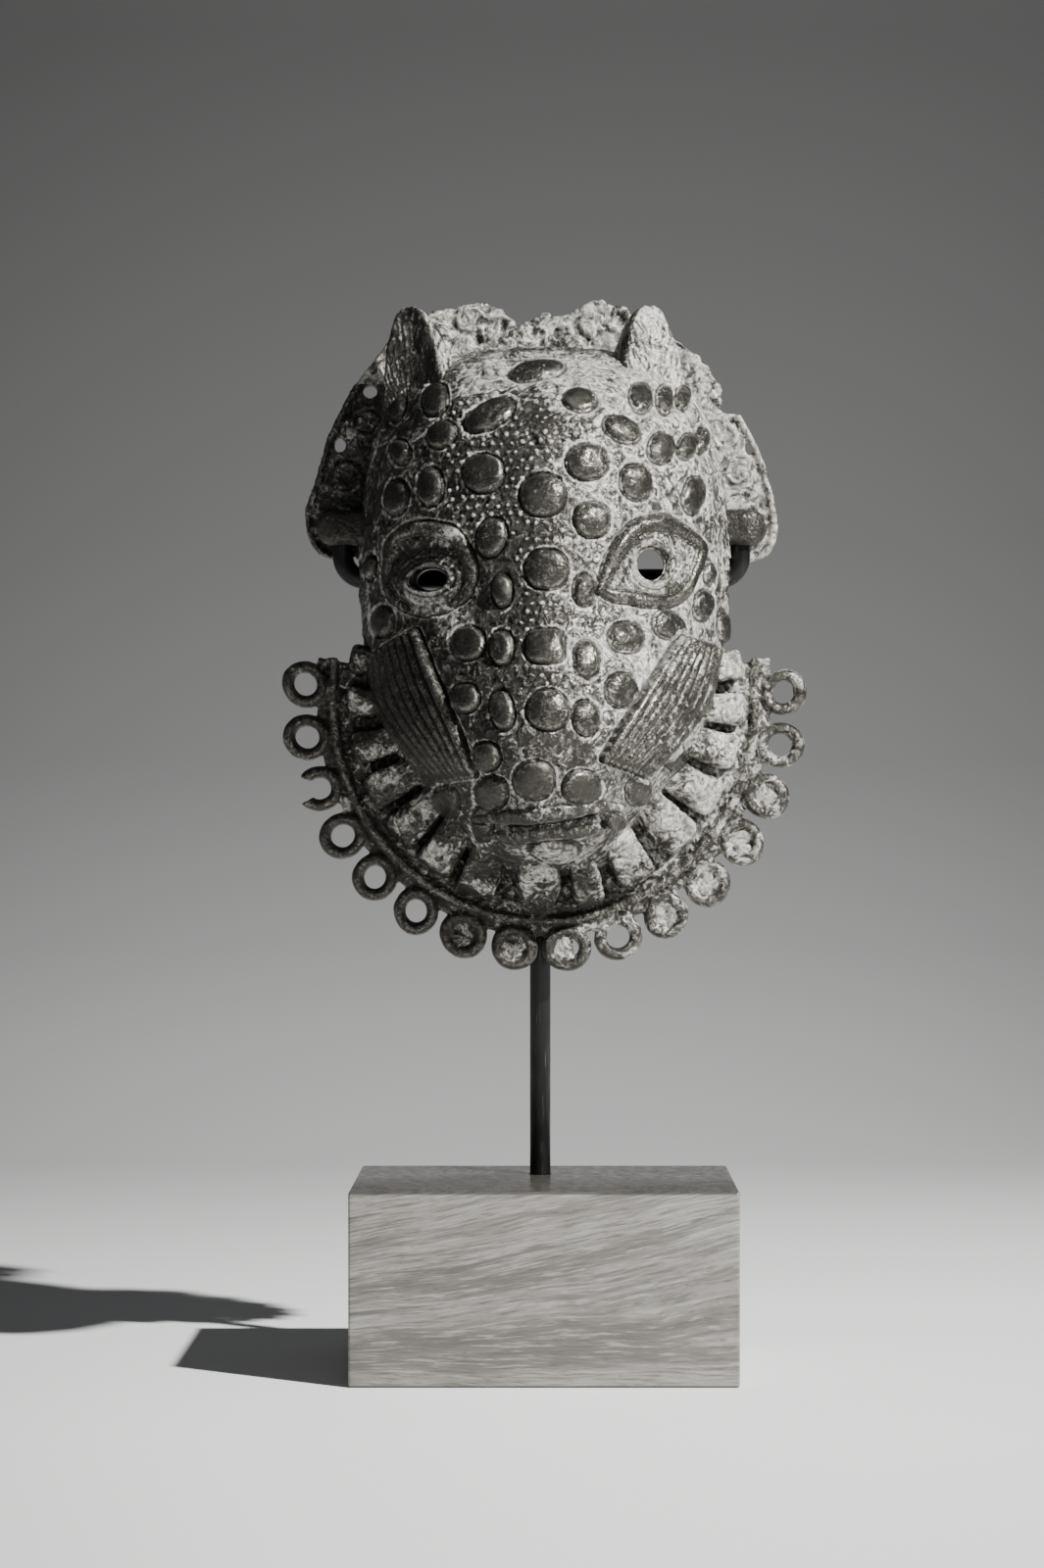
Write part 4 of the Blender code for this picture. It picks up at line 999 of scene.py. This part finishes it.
def buildCollar():
    cord = [(x, collar["front"] + collar["ribLift"], z) for x, z in collarLine(0.0)]
    pieces = [buildFlange(), bar("cordRib", cord, collar["rib"], 16)] + buildPleats() + buildLoops()
    made = joinAll(pieces, "maskCollar")
    shape(made, collar["voxel"])
    places = readPoints(made)
    normals = readNormals(made)
    x, y, z = places.T
    away = np.hypot(x / (collar["half"] - 1.5), np.minimum(0, z - collar["middle"]) / (collar["drop"] - 1.5))
    bandPart = ease(0.985, 1.0, away)
    flash = np.zeros(len(x))
    for number, (loopX, loopZ) in enumerate(loopPlaces()):
        if number in loops["filled"]:
            flash = np.maximum(flash, 1 - ease(2.9, 3.3, np.hypot(x - loopX, z - loopZ)))
    move = roughen(places, bandPart * 0.8 * (1 - flash)) * (1.0 - 0.4 * bandPart)
    move += softNoise(places, 1.8, 42) * 0.22 * flash
    writePoints(made, places + normals * move[:, None])
    pleatTop = (1 - bandPart) * ease(0.35, 0.9, -normals[:, 1])
    # paler towards the lit right side, the cast flash too: partly crust and partly painted light
    tone = 0.24 + 0.32 * ease(0, 40, x) + 0.2 * flash * ease(-20, 10, x) + 0.2 * flash
    tone = tone + pleatTop * ease(0, 5, -y) * (0.25 + 0.3 * softNoise(places, 6.0, 43))
    # painted shade: the set-back gaps between the pleats are darker, less so towards the lit right
    gap = (1 - bandPart) * (1 - ease(-1, 3, -y))
    tone = tone - gap * (0.08 - 0.08 * ease(15, 45, x))
    # painted light: faces turned towards the lamp on the right are paler
    tone = tone + 0.25 * ease(0.2, 0.9, normals[:, 0]) * (1 - bandPart)
    tone = np.where(normals[:, 1] > 0.3, 0.22, tone)
    addPatina(made, {"tone": tone, "ridge": bandPart * 0.4 * (1 - flash)})
    markPlain(made, normals[:, 1] > 0.5)
    thin(made, collar["triangles"])
    closeUp(made, "maskCollar")
    return made


# Aged brass: dark metal, pale crust, dirt and painted shade in the recesses and metal rubbed bare on the edges
brassFinish = {
    "dark": ((0.016, 0.015, 0.013), (0.10, 0.094, 0.082)), "crust": ((0.21, 0.20, 0.18), (0.66, 0.64, 0.59)),
    "stroke": (0.10, 0.095, 0.084), "dirtAndShade": (0.012, 0.0105, 0.009), "rubbed": (0.42, 0.395, 0.345),
    "strokeShare": 0.45, "dirtAndShadeShare": 0.86, "rubbedShare": 0.5, "crustFrom": 0.22, "crustTo": 0.72,
    "bump": 0.8, "bumpReach": 0.0006,
}


def agedBrass():
    made, tree, shader = newMaterial("agedBrassPatina")
    place = node(tree, "TexCoord").outputs["Object"]
    read = {name: node(tree, "Attribute", attribute_name=name).outputs["Fac"]
            for name in ("nearHollow", "wideHollow", "edge", "ridge", "dot", "tone", "fan")}
    blotch = noise(tree, place, 110, 3, 0.5, 0.6)
    swirl = noise(tree, place, 240, 4, 0.5, 2.6)
    fine = noise(tree, place, 700, 4, 0.55, 1.6)
    speck = noise(tree, place, 2600, 2, 0.6)
    inside = spread(tree, read["edge"], -0.35, 0.05, 1.0, 0.0)
    outline = spread(tree, awayFrom(tree, read["edge"], 0.18), 0.08, 0.34, 1.0, 0.0)
    halo = spread(tree, awayFrom(tree, read["edge"], 0.75), 0.05, 0.42, 1.0, 0.0)
    # thin scratches that wander through the skin
    wander = awayFrom(tree, noise(tree, place, 210, 4, 0.6, 2.4), 0.5)
    scratch = spread(tree, wander, 0.004, 0.03, 1.0, 0.0)
    strokes = awayFrom(tree, noise(tree, place, 360, 3, 0.5, 3.2), 0.5)
    strokes = spread(tree, strokes, 0.004, 0.04, 1.0, 0.0)
    fan = math2(tree, "SINE", read["fan"])
    # pale crust lies where the painted tone and the swirls together are high enough
    parts = ((read["tone"], 0.0, 1.0), (blotch, 0.5, 1.2), (swirl, 0.5, 1.3), (fine, 0.5, 0.7),
             (read["wideHollow"], 0.0, 0.12), (inside, 0.0, -0.5), (halo, 0.0, 0.38), (read["ridge"], 0.0, -0.2),
             (read["dot"], 0.0, 0.9), (fan, 0.0, 0.20), (strokes, 0.0, -0.22))
    crust = None
    for value, middle, share in parts:
        part = times(tree, minus(tree, value, middle), share)
        crust = plus(tree, crust, part) if crust else part
    crust = spread(tree, crust, brassFinish["crustFrom"], brassFinish["crustTo"])
    crust = times(tree, crust, minus(tree, 1.0, times(tree, scratch, 0.55)))
    dark = mixColour(tree, fine, *brassFinish["dark"])
    pale = mixColour(tree, spread(tree, swirl, 0.34, 0.64), *brassFinish["crust"])
    pale = mixColour(tree, times(tree, strokes, brassFinish["strokeShare"]), pale, brassFinish["stroke"])
    colour = mixColour(tree, crust, dark, pale)
    # dirt and painted shade in the sharpest recesses and in the line round each spot
    dirtAndShade = math2(tree, "MAXIMUM", spread(tree, read["nearHollow"], 0.35, 1.0), outline)
    colour = mixColour(tree, times(tree, dirtAndShade, brassFinish["dirtAndShadeShare"]), colour, brassFinish["dirtAndShade"])
    # rubbed metal on edges
    rub = spread(tree, times(tree, read["nearHollow"], -1.0), 0.3, 1.0)
    rub = times(tree, rub, spread(tree, fine, 0.42, 0.6))
    colour = mixColour(tree, times(tree, rub, brassFinish["rubbedShare"]), colour, brassFinish["rubbed"])
    tree.links.new(colour, shader.inputs["Base Color"])
    metal = spread(tree, crust, 0.0, 1.0, 0.8, 0.15)
    metal = math2(tree, "MAXIMUM", metal, times(tree, rub, 0.8))
    tree.links.new(metal, shader.inputs["Metallic"])
    rough = spread(tree, crust, 0.0, 1.0, 0.32, 0.52)
    rough = minus(tree, rough, times(tree, inside, 0.09))
    rough = plus(tree, rough, times(tree, minus(tree, speck, 0.5), 0.25))
    tree.links.new(rough, shader.inputs["Roughness"])
    grain = plus(tree, swirl, times(tree, fine, 0.4))
    grain = plus(tree, grain, times(tree, speck, 0.06))
    grain = minus(tree, grain, times(tree, scratch, 0.2))
    grain = minus(tree, grain, times(tree, strokes, 0.12))
    calm = spread(tree, inside, 0.0, 1.0, 1.0, 0.4)
    grain = times(tree, grain, calm)
    grain = plus(tree, grain, times(tree, fan, 0.10))
    settings = {"Strength": brassFinish["bump"], "Distance": brassFinish["bumpReach"], "Height": grain}
    bump = node(tree, "Bump", settings)
    tree.links.new(bump.outputs["Normal"], shader.inputs["Normal"])
    return made


# Black metal bar that carries the mask
mount = {
    "thick": 5.5, "x": -1.1, "y": 11.6, "foot": 28.0, "bar": 209.3, "left": lugs["middles"][0],
    "right": lugs["middles"][1], "bend": 6.2, "top": 224.2, "sides": 48,
    # brazed neck under the crossbar: height over its middle, share of the bar's thickness
    "neck": ((-9, 1.0), (-4.6, 1.04), (-2.4, 1.16), (-0.4, 1.1)), "neckDeep": 0.86,
}


def buildMount():
    bend, low = mount["bend"], mount["bar"] + mount["bend"]
    line = [(mount["left"], mount["y"], mount["top"]), (mount["left"], mount["y"], low + 3)]
    for middle, start in ((mount["left"] + bend, 180), (mount["right"] - bend, 270)):
        for step in range(13):
            turn = math.radians(start + 7.5 * step)
            line.append((middle + bend * math.cos(turn), mount["y"], mount["bar"] + bend * (1 + math.sin(turn))))
    line += [(mount["right"], mount["y"], low + 3), (mount["right"], mount["y"], mount["top"])]
    crossbar = bar("mountBar", line, mount["thick"] / 2, mount["sides"])
    rings = []
    neck = [(mount["bar"] + up, size) for up, size in mount["neck"]]
    for z, size in [(mount["foot"], 0.93), (mount["foot"] + 0.4, 1.0)] + neck:
        reach = mount["thick"] / 2 * size
        deep = reach * mount["neckDeep"] ** (size > 1.01)
        rings.append([(x, y, z) for x, y in oval(mount["x"], mount["y"], reach, deep, mount["sides"])])
    upright = loft("upright", rings)
    applyModifier(crossbar, "BOOLEAN", operation="UNION", solver="EXACT", object=upright)
    bpy.data.objects.remove(upright)
    closeUp(crossbar, "mountBar")
    return crossbar


steelFinish = {"black": (0.012, 0.0118, 0.0115), "worn": (0.085, 0.08, 0.074), "metal": 0.6, "bump": 0.25}


def blackSteel():
    made, tree, shader = newMaterial("blackenedSteelSatin")
    place = node(tree, "TexCoord").outputs["Object"]
    stretched = node(tree, "Mapping", {"Vector": place, "Scale": (1, 1, 0.06)}).outputs["Vector"]
    scratch = noise(tree, stretched, 1400, 3, 0.6)
    patch = noise(tree, place, 140, 4, 0.6)
    worn = times(tree, spread(tree, scratch, 0.56, 0.72), spread(tree, patch, 0.4, 0.65))
    colour = mixColour(tree, worn, steelFinish["black"], steelFinish["worn"])
    tree.links.new(colour, shader.inputs["Base Color"])
    tree.links.new(spread(tree, patch, 0.3, 0.7, 0.30, 0.50), shader.inputs["Roughness"])
    shader.inputs["Metallic"].default_value = steelFinish["metal"]
    bump = node(tree, "Bump", {"Strength": steelFinish["bump"], "Distance": 0.0002, "Height": scratch})
    tree.links.new(bump.outputs["Normal"], shader.inputs["Normal"])
    return made


# Wooden block that the bar stands in
block = {"wide": 100.0, "deep": 70.0, "tall": 50.0, "edge": 0.7, "hole": 3.05, "holeDeep": 22.3}


def buildBlock():
    bpy.ops.object.select_all(action="DESELECT")
    bpy.ops.mesh.primitive_cube_add(size=1, location=(0, 0, 0))
    made = bpy.context.object
    corners = readPoints(made) * mm
    writePoints(made, corners * (block["wide"], block["deep"], block["tall"]) + (0, 0, block["tall"] / 2))
    bpy.ops.object.mode_set(mode="EDIT")
    bpy.ops.mesh.select_all(action="SELECT")
    bpy.ops.mesh.bevel(offset=block["edge"] * mm, segments=3, profile=0.5)
    bpy.ops.object.mode_set(mode="OBJECT")
    low, high = block["tall"] - block["holeDeep"], block["tall"] + 5
    cutAway(made, pin("rodHole", mount["x"], mount["y"], block["hole"], low, high, 48))
    closeUp(made, "woodBlock")
    return made


# Oiled wood, with colours from its grain bands to its pores, and places in metres
woodFinish = {
    "bands": ((0.120, 0.112, 0.100), (0.235, 0.222, 0.202)), "lines": (0.075, 0.070, 0.062),
    "streaks": (0.088, 0.082, 0.073), "gleams": (0.34, 0.325, 0.30), "pores": (0.09, 0.083, 0.073),
    "top": (0.026, 0.024, 0.021), "foot": (0.02, 0.018, 0.016),
    "slope": -0.19, "slopeTop": 0.046, "run": 0.05, "sway": 0.0035, "bump": 0.5,
}


def oiledWood():
    made, tree, shader = newMaterial("oiledWoodGrain")
    place = node(tree, "TexCoord").outputs["Object"]

    def stretched(source, scale):
        return node(tree, "Mapping", {"Vector": source, "Scale": scale}).outputs["Vector"]

    # the grain lies level near the floor, rises to the right higher up and sways a little
    split = node(tree, "SeparateXYZ", {"Vector": place})
    run = plus(tree, split.outputs["X"], woodFinish["run"])
    slope = spread(tree, split.outputs["Z"], 0.0, woodFinish["slopeTop"], 0.0, woodFinish["slope"])
    rise = times(tree, run, slope)
    sway = minus(tree, noise(tree, stretched(place, (30, 12, 60)), 1.0, 2, 0.45), 0.5)
    rise = plus(tree, rise, times(tree, sway, woodFinish["sway"]))
    lift = node(tree, "CombineXYZ", {"Z": rise}).outputs["Vector"]
    swayed = node(tree, "VectorMath", {0: place, 1: lift}, operation="ADD").outputs["Vector"]
    bands = noise(tree, stretched(swayed, (9, 14, 120)), 1.0, 3, 0.55)
    streaks = noise(tree, stretched(swayed, (120, 300, 2100)), 1.0, 3, 0.6)
    lines = noise(tree, stretched(swayed, (24, 60, 560)), 1.0, 3, 0.55)
    pores = noise(tree, stretched(swayed, (230, 1200, 2600)), 1.0, 2, 0.5)
    colour = mixColour(tree, spread(tree, bands, 0.36, 0.60), *woodFinish["bands"])
    colour = mixColour(tree, spread(tree, lines, 0.54, 0.72, 0.0, 0.75), colour, woodFinish["lines"])
    colour = mixColour(tree, spread(tree, streaks, 0.5, 0.66, 0.0, 0.75), colour, woodFinish["streaks"])
    colour = mixColour(tree, spread(tree, streaks, 0.47, 0.34, 0.0, 0.6), colour, woodFinish["gleams"])
    colour = mixColour(tree, spread(tree, pores, 0.6, 0.7, 0.0, 0.6), colour, woodFinish["pores"])
    # the upper side is made darker and glossier
    upperSide = spread(tree, split.outputs["Z"], 0.0490, 0.0496)
    colour = mixColour(tree, times(tree, upperSide, 0.75), colour, woodFinish["top"])
    # painted shadow: a thin dark line along the foot, where the block meets the floor
    foot = spread(tree, split.outputs["Z"], 0.0003, 0.0007, 0.85, 0.0)
    colour = mixColour(tree, foot, colour, woodFinish["foot"])
    tree.links.new(colour, shader.inputs["Base Color"])
    rough = spread(tree, streaks, 0.2, 0.8, 0.40, 0.54)
    rough = minus(tree, rough, times(tree, upperSide, 0.30))
    tree.links.new(rough, shader.inputs["Roughness"])
    relief = minus(tree, times(tree, streaks, 0.5), spread(tree, pores, 0.55, 0.68))
    bump = node(tree, "Bump", {"Strength": woodFinish["bump"], "Distance": 0.00015, "Height": relief})
    tree.links.new(bump.outputs["Normal"], shader.inputs["Normal"])
    return made


# Floor that sweeps up into a backdrop, with painted light and shade on it, in metres
stage = {
    "half": 2.2, "front": -1.6, "bend": 0.55, "radius": 0.6, "tall": 2.4, "columns": 48,
    # painted light on the paper: its brightness by the distance along it, in metres from below the object
    "shades": ((-0.6, 0.60), (-0.25, 0.76), (-0.10, 0.86), (0.10, 0.84), (0.25, 0.72), (0.40, 0.575),
               (0.55, 0.46), (0.76, 0.325), (0.864, 0.235), (1.02, 0.140), (1.18, 0.100), (1.335, 0.0745),
               (1.49, 0.050)),
}


def buildStage():
    line = [(y, 0.0) for y in np.linspace(stage["front"], stage["bend"], 40)]
    for step in range(1, 49):
        turn = math.radians(90 * step / 48)
        line.append((stage["bend"] + stage["radius"] * math.sin(turn), stage["radius"] * (1 - math.cos(turn))))
    line.append((stage["bend"] + stage["radius"], stage["tall"]))
    sides = np.linspace(-1, 1, stage["columns"]) ** 3 * stage["half"]
    corners = [(x, y, z) for y, z in line for x in sides]
    wide = stage["columns"]
    faces = [(row * wide + i, row * wide + i + 1, (row + 1) * wide + i + 1, (row + 1) * wide + i)
             for row in range(len(line) - 1) for i in range(wide - 1)]
    mesh = bpy.data.meshes.new("sweep")
    mesh.from_pydata(corners, [], faces)
    made = bpy.data.objects.new("sweep", mesh)
    bpy.context.scene.collection.objects.link(made)
    line = np.array(line)
    runs = stage["front"] + np.concatenate(([0], np.cumsum(np.hypot(*np.diff(line, axis=0).T))))
    knots = np.array(stage["shades"])
    shade = np.repeat(np.interp(runs, knots[:, 0], knots[:, 1]), wide)
    # painted light: the paper is made brightest along its middle and darker towards its sides
    across = np.tile(sides, len(line)) / np.repeat(0.14 + 0.075 * np.clip(runs, -0.6, 1.6) / 0.55, wide)
    rising = np.repeat(ease(0.3, 0.8, runs), wide)
    across = np.clip(across, -1.6, 1.6)
    shade = shade * (1 + (0.03 - 0.15 * rising) * across - (0.10 + 0.12 * rising) * across ** 2)
    writeAttribute(made, "shade", np.clip(shade, 0.02, 0.9))
    closeUp(made, "sweep")
    paper, tree, shader = newMaterial("paperWithPaintedLight")
    level = node(tree, "Attribute", attribute_name="shade").outputs["Fac"]
    tree.links.new(mixColour(tree, level, (0, 0, 0), (1.0, 0.995, 0.98)), shader.inputs["Base Color"])
    shader.inputs["Roughness"].default_value = 0.9
    made.data.materials.append(paper)


def addLight(name, place, target, size, power):
    data = bpy.data.lights.new(name, "AREA")
    data.shape = "DISK"
    data.size = size
    data.energy = power
    lamp = bpy.data.objects.new(name, data)
    lamp.location = place
    lamp.rotation_euler = (Vector(target) - Vector(place)).to_track_quat("-Z", "Y").to_euler()
    bpy.context.scene.collection.objects.link(lamp)


# The camera stands where the photograph was taken from: level, 965 mm in front
camera = {"place": (0.0015, -0.965, 0.1471), "lens": 83.7, "shiftX": -0.0178, "shiftY": 0.0175}
# One small lamp from the upper right and a faint sky
light = {
    "target": (0, 0, 0.15), "towards": (1.02, -0.8, 1.0), "away": 2.2, "size": 0.07, "power": 142,
    "world": 0.085, "worldColour": (0.9, 0.95, 1.0, 1),
}


def buildCameraAndLights():
    data = bpy.data.cameras.new("camera")
    data.lens = camera["lens"]
    data.sensor_width = 36
    data.shift_x = camera["shiftX"]
    data.shift_y = camera["shiftY"]
    data.clip_start = 0.02
    seer = bpy.data.objects.new("camera", data)
    seer.location = camera["place"]
    seer.rotation_euler = (math.radians(90), 0, 0)
    bpy.context.scene.collection.objects.link(seer)
    bpy.context.scene.camera = seer
    target = Vector(light["target"])
    towards = Vector(light["towards"]).normalized()
    addLight("key", target + towards * light["away"], target, light["size"], light["power"])
    world = bpy.data.worlds.new("studio")
    world.use_nodes = True
    glow = world.node_tree.nodes["Background"].inputs
    glow["Color"].default_value = light["worldColour"]
    glow["Strength"].default_value = light["world"]
    bpy.context.scene.world = world


buildCameraAndLights()
print("camera and lights ready")
buildStage()
print("backdrop ready")

brass = agedBrass()
print("aged brass ready")
for piece in (buildHead(), buildTop(), buildCollar()):
    piece.data.materials.clear()
    piece.data.materials.append(brass)
    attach(piece, "root")
    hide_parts("mask")
    print(piece.name, "ready:", len(piece.data.polygons), "faces")

mountBar = buildMount()
mountBar.data.materials.append(blackSteel())
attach(mountBar, "root")
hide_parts("mount_rod")
print("mount ready")

woodBlock = buildBlock()
woodBlock.data.materials.append(oiledWood())
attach(woodBlock, "root")
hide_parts("wood_block")
print("block ready")
